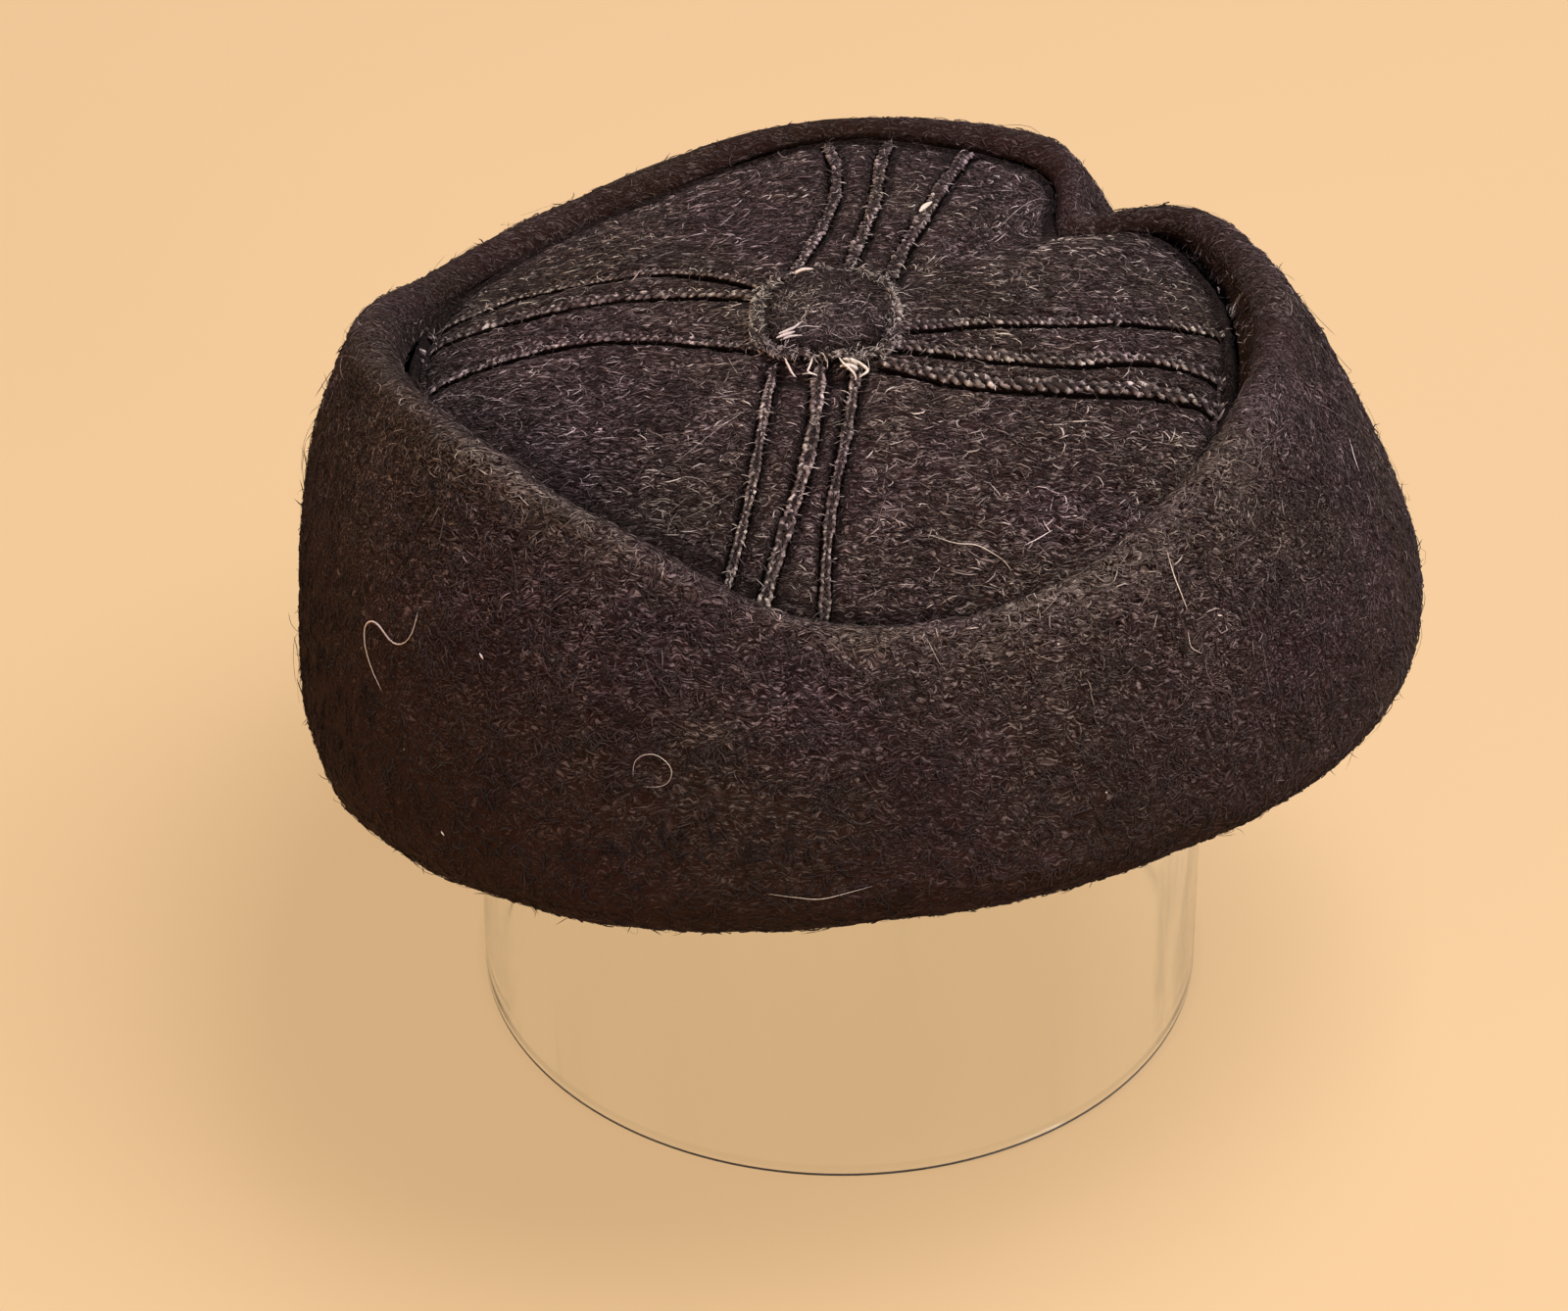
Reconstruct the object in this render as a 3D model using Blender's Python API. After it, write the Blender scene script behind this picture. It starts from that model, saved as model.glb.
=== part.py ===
# Felt cap on a clear cylinder stand.
# The cap is one piece of thick wool felt: a low domed crown, a side wall that
# runs down to the wearer's head line, a wide fold, and a tall cuff turned up
# all round that ends in a rounded, doubled rim. Braided cord is sewn across
# the crown in four arms of three, round a small felt disc. The stand is a
# plain clear tube that carries the crown from inside.
# Metres, +Z up. The stand's foot is on Z = 0. The viewer stands on the -Y side.
import math

import bmesh
import bpy
from mathutils import Vector

MM = 0.001

# display stand, and where its axis stands in plan: the whole thing's plan
# box is centred on the origin, and the cap hangs over to the front right
STAND_X = -4.8 * MM
STAND_Y = 0.5 * MM
STAND_R = 80.0 * MM
STAND_WALL = 3.0 * MM
STAND_HEIGHT = 146.0 * MM
STAND_SIDES = 72

# cap, its own centre in plan
CAP_X = STAND_X - 1.0 * MM
CAP_Y = STAND_Y - 1.5 * MM
CROWN_TOP = 170.0 * MM
FELT = 3.0 * MM
CROWN_ROUND = 4.0 * MM
DOME_POWER = 2.2
CUFF_WALL = 5.0 * MM
FOLD_DEPTH = 24.0 * MM
FOLD_RISE = 14.0 * MM
WALL_STEPS = (0.12, 0.3, 0.55, 0.8, 1.0)

# pinch that squeezes the rim and the crown's edge together at the back right
PINCH_AT = 43.0
PINCH_SPREAD = 8.0
PINCH_DEPTH = 13.0 * MM
PINCH_DROP = 3.0 * MM

# one row per 30 degrees round the cap, counted from +X through the back
COLUMNS = ("angle", "fold_r", "fold_z", "rim_r", "rim_z", "rim_half", "gap",
           "crown_z", "bulge")
STATIONS = (
    (0, 126, 95, 92, 173, 5.0, 2.0, 162, 3),
    (30, 120, 93, 93, 167, 4.4, 3.0, 159, 4),
    (60, 120, 91, 93, 164, 3.4, 2.0, 159, 5),
    (90, 125, 92, 89, 163, 3.2, 1.5, 160, 5),
    (120, 124, 94, 89, 157, 3.2, 1.5, 155, 5),
    (150, 116, 93, 95, 156, 3.4, 1.5, 153, 5),
    (180, 113, 89, 99, 169, 4.5, 3.0, 159, 4),
    (210, 124, 86, 94, 178, 4.2, 2.0, 161, 5),
    (240, 128, 92, 88, 169, 3.6, 1.5, 157, 5),
    (270, 123, 98, 87, 154, 3.4, 1.5, 148, 5),
    (300, 122, 99, 88, 157, 3.4, 1.5, 150, 5),
    (330, 127, 97, 91, 170, 4.2, 2.0, 159, 5),
)
CAP_STEPS = 72

# felt disc, a rounded square, and its cord ring
DISC_X = STAND_X - 3.8 * MM
DISC_Y = STAND_Y - 0.5 * MM
DISC_HALF_X = 11.8 * MM
DISC_HALF_Y = 14.2 * MM
DISC_CORNER = 0.08
DISC_THICK = 1.6 * MM
RING_HALF = 1.4 * MM
GAP = 0.3 * MM

# one row per cord: heading of its arm, half its width, where it starts along
# the arm, and how far it lies to the left of the arm's middle line (seen from
# the disc) at its start, halfway and at its end, all in millimetres
CORD_COLUMNS = ("name", "heading", "half", "start", "side_start",
                "side_middle", "side_end")
CORDS = (
    ("cord_left_back", 180, 1.0, 16, -16, -27, -14),
    ("cord_left_middle", 180, 1.2, 18, -11, -14, -6),
    ("cord_left_front", 180, 1.1, 18, 9, 2, 12),
    ("cord_right_back", 0, 1.2, 18, -4, 1, 4),
    ("cord_right_middle", 0, 1.3, 17, -10, -15, -10),
    ("cord_right_front", 0, 1.7, 14, -20, -24, -21),
    ("cord_front_left", 270, 1.1, 20, -11, -15, -21),
    ("cord_front_middle", 270, 1.1, 20, -1, -5, -14),
    ("cord_front_right", 270, 1.1, 20, 6, 2, -1),
    ("cord_back_left", 90, 1.1, 20, 6, -2, -1),
    ("cord_back_middle", 90, 1.2, 20, -6, -11, -17),
    ("cord_back_right", 90, 1.3, 17, -17, -22, -32),
)
CORD_THICK = 1.5 * MM
CORD_EDGE = 5.0 * MM
CORD_STEPS = 12


def column(name, angle):
    """Value of one station column at any angle in degrees, smooth all round."""
    k = COLUMNS.index(name)
    n = len(STATIONS)
    u = (angle % 360.0) / (360.0 / n)
    i = int(u) % n
    t = u - int(u)
    p0, p1, p2, p3 = (STATIONS[(i + j) % n][k] for j in (-1, 0, 1, 2))
    a = 2.0 * p1
    b = p2 - p0
    c = 2.0 * p0 - 5.0 * p1 + 4.0 * p2 - p3
    d = -p0 + 3.0 * p1 - 3.0 * p2 + p3
    return 0.5 * (a + b * t + c * t * t + d * t ** 3) * MM


def pinch(angle):
    """1 in the middle of the pinch, fading to 0 on both sides."""
    off = (angle - PINCH_AT + 180.0) % 360.0 - 180.0
    return math.exp(-(off / PINCH_SPREAD) ** 2)


def rim(angle):
    """Radius, height and half thickness of the rim's rounded edge."""
    squeeze = pinch(angle)
    r = column("rim_r", angle) - PINCH_DEPTH * squeeze
    z = column("rim_z", angle) - PINCH_DROP * squeeze
    return r, z, column("rim_half", angle)


def crown_edge(angle):
    """Radius and height at which the crown turns down into the groove."""
    r, z, half = rim(angle)
    return r - half - column("gap", angle), column("crown_z", angle)


def dome(r, angle):
    """Height of the crown's outer skin at a radius, before its edge rounds."""
    edge_r, edge_z = crown_edge(angle)
    s = min(r / edge_r, 1.0)
    return CROWN_TOP - (CROWN_TOP - edge_z) * s ** DOME_POWER


def skin_height(x, y):
    """Height of the crown's outer skin over a plan point, in world metres."""
    dx = x - CAP_X
    dy = y - CAP_Y
    angle = math.degrees(math.atan2(dy, dx))
    return dome(math.hypot(dx, dy), angle)


def cuff_outer(angle, s):
    """Outer face of the cuff: s = 0 at its widest, s = 1 below the rim."""
    rim_r, rim_z, half = rim(angle)
    fold_r = column("fold_r", angle)
    low = column("fold_z", angle) + FOLD_RISE
    high = rim_z - half
    r = fold_r + (rim_r + half - fold_r) * s
    r += column("bulge", angle) * 4.0 * s * (1.0 - s)
    return r, low + (high - low) * s


def section(angle):
    """Closed section of the felt, from the crown's top round to its inside."""
    rim_r, rim_z, half = rim(angle)
    edge_r, edge_z = crown_edge(angle)
    fold_r = column("fold_r", angle)
    fold_z = column("fold_z", angle)
    wall_r = fold_r - FOLD_DEPTH
    wall_z = fold_z + FOLD_RISE
    # the wall under the crown's edge, which the pinch doesn't reach
    free_r = edge_r + PINCH_DEPTH * pinch(angle)
    points = []
    # crown, outer skin
    last_r = edge_r - CROWN_ROUND
    for i in range(9):
        r = last_r * i / 8.0
        points.append((r, dome(r, angle)))
    # rounded edge of the crown
    last_z = dome(last_r, angle)
    for turn in (30.0, 60.0, 90.0):
        a = math.radians(turn)
        points.append((last_r + CROWN_ROUND * math.sin(a),
                       last_z - CROWN_ROUND * (1.0 - math.cos(a))))
    # outer skin of the side wall, hidden in the groove
    top_z = last_z - CROWN_ROUND
    for s in WALL_STEPS:
        points.append((free_r + (wall_r - free_r) * s,
                       top_z + (wall_z - top_z) * s))
    # floor of the groove
    floor_z = fold_z + CUFF_WALL
    inner_r = fold_r - CUFF_WALL
    mid_r = 0.5 * (wall_r + inner_r)
    for turn in (45.0, 90.0, 135.0):
        a = math.radians(turn)
        points.append((mid_r - 0.5 * (inner_r - wall_r) * math.cos(a),
                       wall_z - (wall_z - floor_z) * math.sin(a)))
    # inner face of the cuff
    for s in (0.0, 0.25, 0.5, 0.75, 1.0):
        r, z = cuff_outer(angle, s)
        thick = CUFF_WALL + (2.0 * half - CUFF_WALL) * s
        points.append((r - thick, z))
    # rounded rim
    for turn in (150.0, 120.0, 90.0, 60.0, 30.0):
        a = math.radians(turn)
        points.append((rim_r + half * math.cos(a),
                       rim_z - half + half * math.sin(a)))
    # outer face of the cuff
    for i in range(9):
        points.append(cuff_outer(angle, 1.0 - i / 8.0))
    # underside of the fold
    bottom_r = wall_r - FELT
    mid_r = 0.5 * (bottom_r + fold_r)
    for turn in (30.0, 60.0, 90.0, 120.0, 150.0, 180.0):
        a = math.radians(turn)
        points.append((mid_r + 0.5 * (fold_r - bottom_r) * math.cos(a),
                       wall_z - FOLD_RISE * math.sin(a)))
    # inner skin of the side wall and of the crown
    for s in WALL_STEPS[-2::-1]:
        points.append((free_r + (wall_r - free_r) * s - FELT,
                       top_z + (wall_z - top_z) * s))
    points.append((edge_r - FELT, top_z))
    for i in range(7, -1, -1):
        r = last_r * i / 8.0
        points.append((r, dome(r, angle) - FELT))
    return points


def make_object(name, verts, faces, material, smooth=True):
    mesh = bpy.data.meshes.new(name)
    mesh.from_pydata([tuple(v) for v in verts], [], faces)
    bm = bmesh.new()
    bm.from_mesh(mesh)
    bmesh.ops.recalc_face_normals(bm, faces=bm.faces)
    bm.to_mesh(mesh)
    bm.free()
    for poly in mesh.polygons:
        poly.use_smooth = smooth
    mesh.materials.append(material)
    obj = bpy.data.objects.new(name, mesh)
    bpy.context.scene.collection.objects.link(obj)
    return obj


def make_material(name, color, roughness, metallic=0.0, transmission=0.0):
    mat = bpy.data.materials.new(name)
    mat.use_nodes = True
    shader = mat.node_tree.nodes["Principled BSDF"]
    shader.inputs["Base Color"].default_value = (*color, 1.0)
    shader.inputs["Roughness"].default_value = roughness
    shader.inputs["Metallic"].default_value = metallic
    shader.inputs["Transmission Weight"].default_value = transmission
    return mat


def build_felt(material):
    """Lofts the sections round the cap; both poles close with a fan."""
    rings = []
    for i in range(CAP_STEPS):
        angle = 360.0 * i / CAP_STEPS
        rings.append([(r, z, angle) for r, z in section(angle)])
    count = len(rings[0])
    verts = []
    for ring in rings:
        for r, z, angle in ring[1:-1]:
            a = math.radians(angle)
            verts.append((CAP_X + r * math.cos(a), CAP_Y + r * math.sin(a), z))
    row = count - 2
    top = len(verts)
    verts.append((CAP_X, CAP_Y, CROWN_TOP))
    inside = len(verts)
    verts.append((CAP_X, CAP_Y, CROWN_TOP - FELT))
    faces = []
    for i in range(CAP_STEPS):
        j = (i + 1) % CAP_STEPS
        for k in range(row - 1):
            faces.append((i * row + k, i * row + k + 1,
                          j * row + k + 1, j * row + k))
        faces.append((top, i * row, j * row))
        faces.append((inside, j * row + row - 1, i * row + row - 1))
    return make_object("felt_cap", verts, faces, material)


def build_stand(material):
    """Open tube: an outer and an inner wall joined by two flat rings."""
    inner = STAND_R - STAND_WALL
    loop = ((STAND_R, 0.0), (STAND_R, STAND_HEIGHT),
            (inner, STAND_HEIGHT), (inner, 0.0))
    verts = []
    for i in range(STAND_SIDES):
        a = 2.0 * math.pi * i / STAND_SIDES
        for r, z in loop:
            verts.append((STAND_X + r * math.cos(a),
                          STAND_Y + r * math.sin(a), z))
    faces = []
    for i in range(STAND_SIDES):
        j = (i + 1) % STAND_SIDES
        for k in range(4):
            m = (k + 1) % 4
            faces.append((i * 4 + k, i * 4 + m, j * 4 + m, j * 4 + k))
    return make_object("display_stand", verts, faces, material, smooth=False)


def disc_outline(part, grow, turn):
    """Rounded-square outline of the disc, scaled and then grown outward."""
    a = math.radians(turn)
    soft = 1.0 + DISC_CORNER * math.sin(2.0 * a) ** 2
    return (DISC_X + (DISC_HALF_X * part + grow) * soft * math.cos(a),
            DISC_Y + (DISC_HALF_Y * part + grow) * soft * math.sin(a))


def build_disc(material):
    """Flat pad of felt that follows the crown under it."""
    steps = 24
    rings = (0.35, 0.7, 1.0)
    verts = [(DISC_X, DISC_Y, skin_height(DISC_X, DISC_Y) + GAP + DISC_THICK)]
    faces = []
    for level in (1, 0):
        for part in (rings if level else rings[::-1]):
            for i in range(steps):
                x, y = disc_outline(part, 0.0, 360.0 * i / steps)
                z = skin_height(x, y) + GAP + DISC_THICK * level
                verts.append((x, y, z))
    verts.append((DISC_X, DISC_Y, skin_height(DISC_X, DISC_Y) + GAP))
    last = len(verts) - 1
    loops = 2 * len(rings)
    for i in range(steps):
        j = (i + 1) % steps
        faces.append((0, 1 + i, 1 + j))
        for k in range(loops - 1):
            a = 1 + k * steps
            b = a + steps
            faces.append((a + i, b + i, b + j, a + j))
        a = 1 + (loops - 1) * steps
        faces.append((last, a + j, a + i))
    return make_object("center_disc", verts, faces, material)


def sweep(name, path, half_width, half_thick, sides, material, closed=False):
    """Flattened cord along a path whose points lie on the felt's skin."""
    verts = []
    n = len(path)
    for i, p in enumerate(path):
        ahead = path[(i + 1) % n] if closed or i < n - 1 else p
        behind = path[i - 1] if closed or i > 0 else p
        run = (Vector(ahead) - Vector(behind)).normalized()
        side = run.cross(Vector((0.0, 0.0, 1.0))).normalized()
        up = side.cross(run).normalized()
        centre = Vector(p) + up * (GAP + half_thick)
        for k in range(sides):
            a = 2.0 * math.pi * (k + 0.5) / sides
            verts.append(centre + side * (half_width * math.cos(a))
                         + up * (half_thick * math.sin(a)))
    faces = []
    for i in range(n if closed else n - 1):
        j = (i + 1) % n
        for k in range(sides):
            m = (k + 1) % sides
            faces.append((i * sides + k, i * sides + m,
                          j * sides + m, j * sides + k))
    if not closed:
        faces.append(tuple(range(sides)))
        faces.append(tuple(reversed(range((n - 1) * sides, n * sides))))
    return make_object(name, verts, faces, material)


def cord_path(row):
    """Plan curve of one cord, laid on the crown."""
    name, heading, half, start, side_start, side_middle, side_end = row
    a = math.radians(heading)
    along = (math.cos(a), math.sin(a))
    left = (-along[1], along[0])

    def plan(d, side):
        return (DISC_X + along[0] * d + left[0] * side * MM,
                DISC_Y + along[1] * d + left[1] * side * MM)

    # walk out along the arm until the cord's end is at the crown's edge
    reach = start * MM
    inside = True
    while inside:
        reach += 0.5 * MM
        x, y = plan(reach, side_end)
        angle = math.degrees(math.atan2(y - CAP_Y, x - CAP_X))
        limit = crown_edge(angle)[0] - CORD_EDGE
        inside = math.hypot(x - CAP_X, y - CAP_Y) < limit
    path = []
    for i in range(CORD_STEPS + 1):
        t = i / CORD_STEPS
        side = (side_start * (1.0 - t) * (1.0 - 2.0 * t)
                + side_middle * 4.0 * t * (1.0 - t)
                + side_end * t * (2.0 * t - 1.0))
        x, y = plan(start * MM + (reach - start * MM) * t, side)
        path.append((x, y, skin_height(x, y)))
    return path


def build_ring(material):
    steps = 48
    path = []
    for i in range(steps):
        x, y = disc_outline(1.0, GAP + RING_HALF, 360.0 * i / steps)
        path.append((x, y, skin_height(x, y)))
    return sweep("disc_ring", path, RING_HALF, RING_HALF, 8, material, True)


def clear_scene():
    for obj in list(bpy.data.objects):
        bpy.data.objects.remove(obj)


def main():
    clear_scene()
    felt = make_material("felt", (0.030, 0.022, 0.018), 0.95)
    cord = make_material("cord", (0.050, 0.038, 0.030), 0.9)
    clear = make_material("clear_acrylic", (0.90, 0.92, 0.92), 0.05,
                          transmission=0.9)
    build_felt(felt)
    build_disc(felt)
    build_ring(cord)
    for row in CORDS:
        sweep(row[0], cord_path(row), row[2] * MM, 0.5 * CORD_THICK, 6, cord)
    build_stand(clear)


main()
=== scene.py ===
# %% [markdown]
# # A worn felt cap on a clear stand
# The real cap is one piece of thick, hairy wool felt. A low crown runs down
# into a side wall, the wall folds outward at the bottom, and the same felt
# comes up again outside as a tall cuff with a rounded edge. Braids are sewn
# across the crown. A clear tube holds it all up from inside.
#
# The solids of the part are loaded first. They are the measured frame: every
# piece below is built on their numbers and rides on their one body, "root".

# %% Load the solids
import math

import bpy
import numpy as np
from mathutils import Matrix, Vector, noise


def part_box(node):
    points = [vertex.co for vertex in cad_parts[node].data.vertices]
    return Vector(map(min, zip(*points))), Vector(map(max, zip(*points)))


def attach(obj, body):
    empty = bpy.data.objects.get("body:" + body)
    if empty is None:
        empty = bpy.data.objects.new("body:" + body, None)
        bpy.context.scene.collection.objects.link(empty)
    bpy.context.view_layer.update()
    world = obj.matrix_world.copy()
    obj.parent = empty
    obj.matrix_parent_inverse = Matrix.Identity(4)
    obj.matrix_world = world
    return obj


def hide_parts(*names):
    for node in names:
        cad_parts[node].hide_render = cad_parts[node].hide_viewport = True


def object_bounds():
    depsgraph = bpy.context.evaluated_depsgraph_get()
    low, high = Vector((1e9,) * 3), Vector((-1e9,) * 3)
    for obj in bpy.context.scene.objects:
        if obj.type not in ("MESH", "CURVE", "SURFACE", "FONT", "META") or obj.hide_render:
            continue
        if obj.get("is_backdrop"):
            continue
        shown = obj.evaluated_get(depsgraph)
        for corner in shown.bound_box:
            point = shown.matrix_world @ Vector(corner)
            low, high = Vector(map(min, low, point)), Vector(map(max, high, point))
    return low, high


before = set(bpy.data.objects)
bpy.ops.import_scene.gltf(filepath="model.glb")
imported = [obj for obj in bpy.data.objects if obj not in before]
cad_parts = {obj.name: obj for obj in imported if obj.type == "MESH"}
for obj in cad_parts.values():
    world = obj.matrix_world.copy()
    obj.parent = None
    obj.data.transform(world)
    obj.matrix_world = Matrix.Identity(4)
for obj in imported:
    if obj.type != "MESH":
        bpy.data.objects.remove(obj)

MM = 0.001
solid_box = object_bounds()
stand_low, stand_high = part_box("display_stand")
print("solid box", [list(map(float, corner)) for corner in solid_box])

# %% [markdown]
# ## Camera
# The stand's foot is a true circle, so its ellipse in a picture gives the
# camera away: how flat it looks is the angle, how wide it is the distance.
# Here that is 37 degrees down through a long lens, which keeps the far rim
# almost as large as the near one.

# %% Camera
LENS = 150.0
SENSOR = 36.0
LOOK_DOWN = 37.0
CAMERA_FROM_STAND = (-0.0125, -1.1416, 0.9416)

stand_x = 0.5 * (stand_low[0] + stand_high[0])
stand_y = 0.5 * (stand_low[1] + stand_high[1])
camera = bpy.data.objects.new("camera", bpy.data.cameras.new("camera"))
camera.data.lens = LENS
camera.data.sensor_width = SENSOR
camera.location = (stand_x + CAMERA_FROM_STAND[0],
                   stand_y + CAMERA_FROM_STAND[1], CAMERA_FROM_STAND[2])
camera.rotation_euler = (math.radians(90.0 - LOOK_DOWN), 0.0, 0.0)
bpy.context.scene.collection.objects.link(camera)
bpy.context.scene.camera = camera
bpy.context.scene.view_settings.view_transform = "Standard"
print("camera at", tuple(round(v, 4) for v in camera.location))

# %% [markdown]
# ## Shader helpers
# A material is a small graph. These few helpers place nodes and join them, so
# that each material below reads as a list of what it is made of.


# %% Helpers that place and join shader nodes
def new_material(name):
    """An empty node material with a Principled shader joined to the output."""
    mat = bpy.data.materials.new(name)
    mat.use_nodes = True
    nodes = mat.node_tree.nodes
    nodes.clear()
    out = nodes.new("ShaderNodeOutputMaterial")
    shader = nodes.new("ShaderNodeBsdfPrincipled")
    mat.node_tree.links.new(shader.outputs["BSDF"], out.inputs["Surface"])
    return mat, mat.node_tree, shader


def plug(tree, socket, value):
    """Joins another node's output to a socket, or sets a plain value."""
    if isinstance(value, bpy.types.NodeSocket):
        tree.links.new(value, socket)
    elif socket.type == "RGBA":
        socket.default_value = (*value, 1.0)
    else:
        socket.default_value = value


def feed(tree, node, **values):
    """Fills inputs by name; an underscore stands for a space in the name."""
    for label, value in values.items():
        plug(tree, node.inputs[label.replace("_", " ")], value)
    return node


def add_node(tree, kind, **values):
    return feed(tree, tree.nodes.new("ShaderNode" + kind), **values)


# %% Helpers for coordinates, numbers and relief
def object_coords(tree):
    return add_node(tree, "TexCoord").outputs["Object"]


def stretched(tree, coords, scale, turn=(0.0, 0.0, 0.0)):
    """Coordinates scaled and turned, so a noise becomes streaks."""
    return add_node(tree, "Mapping", Vector=coords, Scale=scale,
                    Rotation=turn).outputs["Vector"]


def noise_node(tree, coords, scale, detail=4.0, rough=0.55, bend=0.0):
    return add_node(tree, "TexNoise", Vector=coords, Scale=scale,
                    Detail=detail, Roughness=rough,
                    Distortion=bend).outputs["Fac"]


def spread(tree, value, low, high, to_low=0.0, to_high=1.0):
    """Map one range of values to another, clamped."""
    return add_node(tree, "MapRange", Value=value, From_Min=low, From_Max=high,
                    To_Min=to_low, To_Max=to_high).outputs["Result"]


def combine(tree, kind, *values):
    node = tree.nodes.new("ShaderNodeMath")
    node.operation = kind
    for socket, value in zip(node.inputs, values):
        plug(tree, socket, value)
    return node.outputs[0]


def blend_colors(tree, factor, a, b, kind="MIX"):
    node = tree.nodes.new("ShaderNodeMix")
    node.data_type, node.blend_type = "RGBA", kind
    sockets = {s.identifier: s for s in node.inputs}
    for label, value in (("Factor_Float", factor), ("A_Color", a),
                         ("B_Color", b)):
        plug(tree, sockets[label], value)
    return next(s for s in node.outputs if s.identifier == "Result_Color")


def relief(tree, shader, height, depth):
    """A height in metres drives a Bump node on the shader's Normal."""
    bump = add_node(tree, "Bump", Height=height, Distance=depth)
    feed(tree, shader, Normal=bump.outputs["Normal"])


# %% Helpers for groups
def new_group(name, inputs, outputs):
    """A node group with named sockets; returns its tree and its two ends."""
    tree = bpy.data.node_groups.new(name, "ShaderNodeTree")
    for label, kind, value in inputs:
        socket = tree.interface.new_socket(label, in_out="INPUT",
                                           socket_type=kind)
        if value is not None:
            socket.default_value = value
    for label, kind in outputs:
        tree.interface.new_socket(label, in_out="OUTPUT", socket_type=kind)
    return (tree, tree.nodes.new("NodeGroupInput"),
            tree.nodes.new("NodeGroupOutput"))


def place_group(tree, group, **values):
    node = tree.nodes.new("ShaderNodeGroup")
    node.node_tree = group
    return feed(tree, node, **values)


# %% [markdown]
# ## Matted wool, as a group
# Felt has no weave. Wool hairs lie in every direction, pressed flat and
# hooked into each other, so close up it is a tangle of short bent strokes.
# Each lay of hairs is a noise drawn out in one direction and cut to thin
# strokes. Three lays, turned different ways, are painted over each other, the
# palest last, because the hairs on top are the ones that the light has faded.

# %% Matted wool group
C, F, V = "NodeSocketColor", "NodeSocketFloat", "NodeSocketVector"
matted_wool, wool_in, wool_out = new_group(
    "matted_wool",
    [("Coords", V, None), ("Hairs", F, 1.0), ("Deep", C, None),
     ("Body", C, None), ("Under", C, None), ("Tips", C, None)],
    [("Color", C), ("Height", F)])
HAIR_RUN = (330.0, 2100.0, 2100.0)
HAIR_LAYS = (
    # turn, where strokes start and are full, share of the relief, paint
    ((0.2, 0.3, 0.4), 0.50, 0.56, 0.35, "Body"),
    ((0.6, -0.5, 1.5), 0.53, 0.60, 0.5, "Under"),
    ((-0.3, 0.7, 2.5), 0.55, 0.63, 0.7, "Tips"),
)


def wavy(tree, coords, size, amount):
    """Coordinates pushed about by a slow noise, so that streaks bend."""
    push = add_node(tree, "TexNoise", Vector=coords, Scale=size, Detail=1.0)
    move = tree.nodes.new("ShaderNodeVectorMath")
    move.operation = "MULTIPLY_ADD"
    for socket, value in zip(move.inputs, (push.outputs["Color"],
                                           (amount,) * 3, coords)):
        plug(tree, socket, value)
    return move.outputs["Vector"]


tree, wool = matted_wool, wool_in.outputs
bent = wavy(tree, wool["Coords"], 260.0, 4.0 * MM)
clumps = noise_node(tree, bent, 420.0, 3.0, 0.6, 0.4)
clouds = noise_node(tree, wool["Coords"], 28.0, 4.0, 0.6)
color = blend_colors(tree, spread(tree, clumps, 0.40, 0.62),
                     wool["Deep"], wool["Body"])
height = combine(tree, "MULTIPLY", clumps, 0.9)
for turn, low, high, share, paint in HAIR_LAYS:
    run = stretched(tree, bent, HAIR_RUN, turn)
    lay = spread(tree, noise_node(tree, run, 1.0, 2.0, 0.5, 0.6), low, high)
    height = combine(tree, "ADD", height,
                     combine(tree, "MULTIPLY", lay, share))
    if paint == "Tips":
        lay = combine(tree, "MULTIPLY", lay, wool["Hairs"])
    color = blend_colors(tree, lay, color, wool[paint])
color = blend_colors(tree, spread(tree, clouds, 0.35, 0.7, 0.5, 0.0), color,
                     wool["Deep"])
feed(tree, wool_out, Color=color, Height=height)
print("wool group:", len(matted_wool.nodes), "nodes")

# %% [markdown]
# ## Lint and dust, as a group
# An old hat that has stood in the open carries pale specks. Voronoi cells
# give one small dot each; a random value per cell leaves most of them out.

# %% Lint group
lint, lint_in, lint_out = new_group(
    "lint", [("Coords", V, None), ("Scale", F, 300.0), ("Share", F, 0.06)],
    [("Mask", F)])
SPECK_SIZE = 0.06
cells = add_node(lint, "TexVoronoi", Vector=lint_in.outputs["Coords"],
                 Scale=lint_in.outputs["Scale"])
pick = add_node(lint, "SeparateColor", Color=cells.outputs["Color"])
chosen = combine(lint, "LESS_THAN", pick.outputs["Red"],
                 lint_in.outputs["Share"])
near = combine(lint, "LESS_THAN", cells.outputs["Distance"], SPECK_SIZE)
feed(lint, lint_out, Mask=combine(lint, "MULTIPLY", chosen, near))
print("lint group:", len(lint.nodes), "nodes")

# %% [markdown]
# ## Faded dye, as a group
# Black-brown dye on wool fades unevenly. Some clouds on the felt have gone
# olive, others are still plum. One slow noise mixes the two tints, and the
# colour that comes in is multiplied by the result.

# %% Dye group
OLIVE_TINT, PLUM_TINT = (1.0, 0.92, 0.80), (1.0, 0.84, 0.91)
faded_dye, dye_in, dye_out = new_group(
    "faded_dye", [("Coords", V, None), ("Color", C, None)], [("Color", C)])
dye_noise = noise_node(faded_dye, dye_in.outputs["Coords"], 24.0, 3.0, 0.6)
tint = blend_colors(faded_dye, spread(faded_dye, dye_noise, 0.38, 0.62),
                    OLIVE_TINT, PLUM_TINT)
feed(faded_dye, dye_out, Color=blend_colors(
    faded_dye, 1.0, dye_in.outputs["Color"], tint, "MULTIPLY"))
print("groups:", [g.name for g in bpy.data.node_groups])
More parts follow.
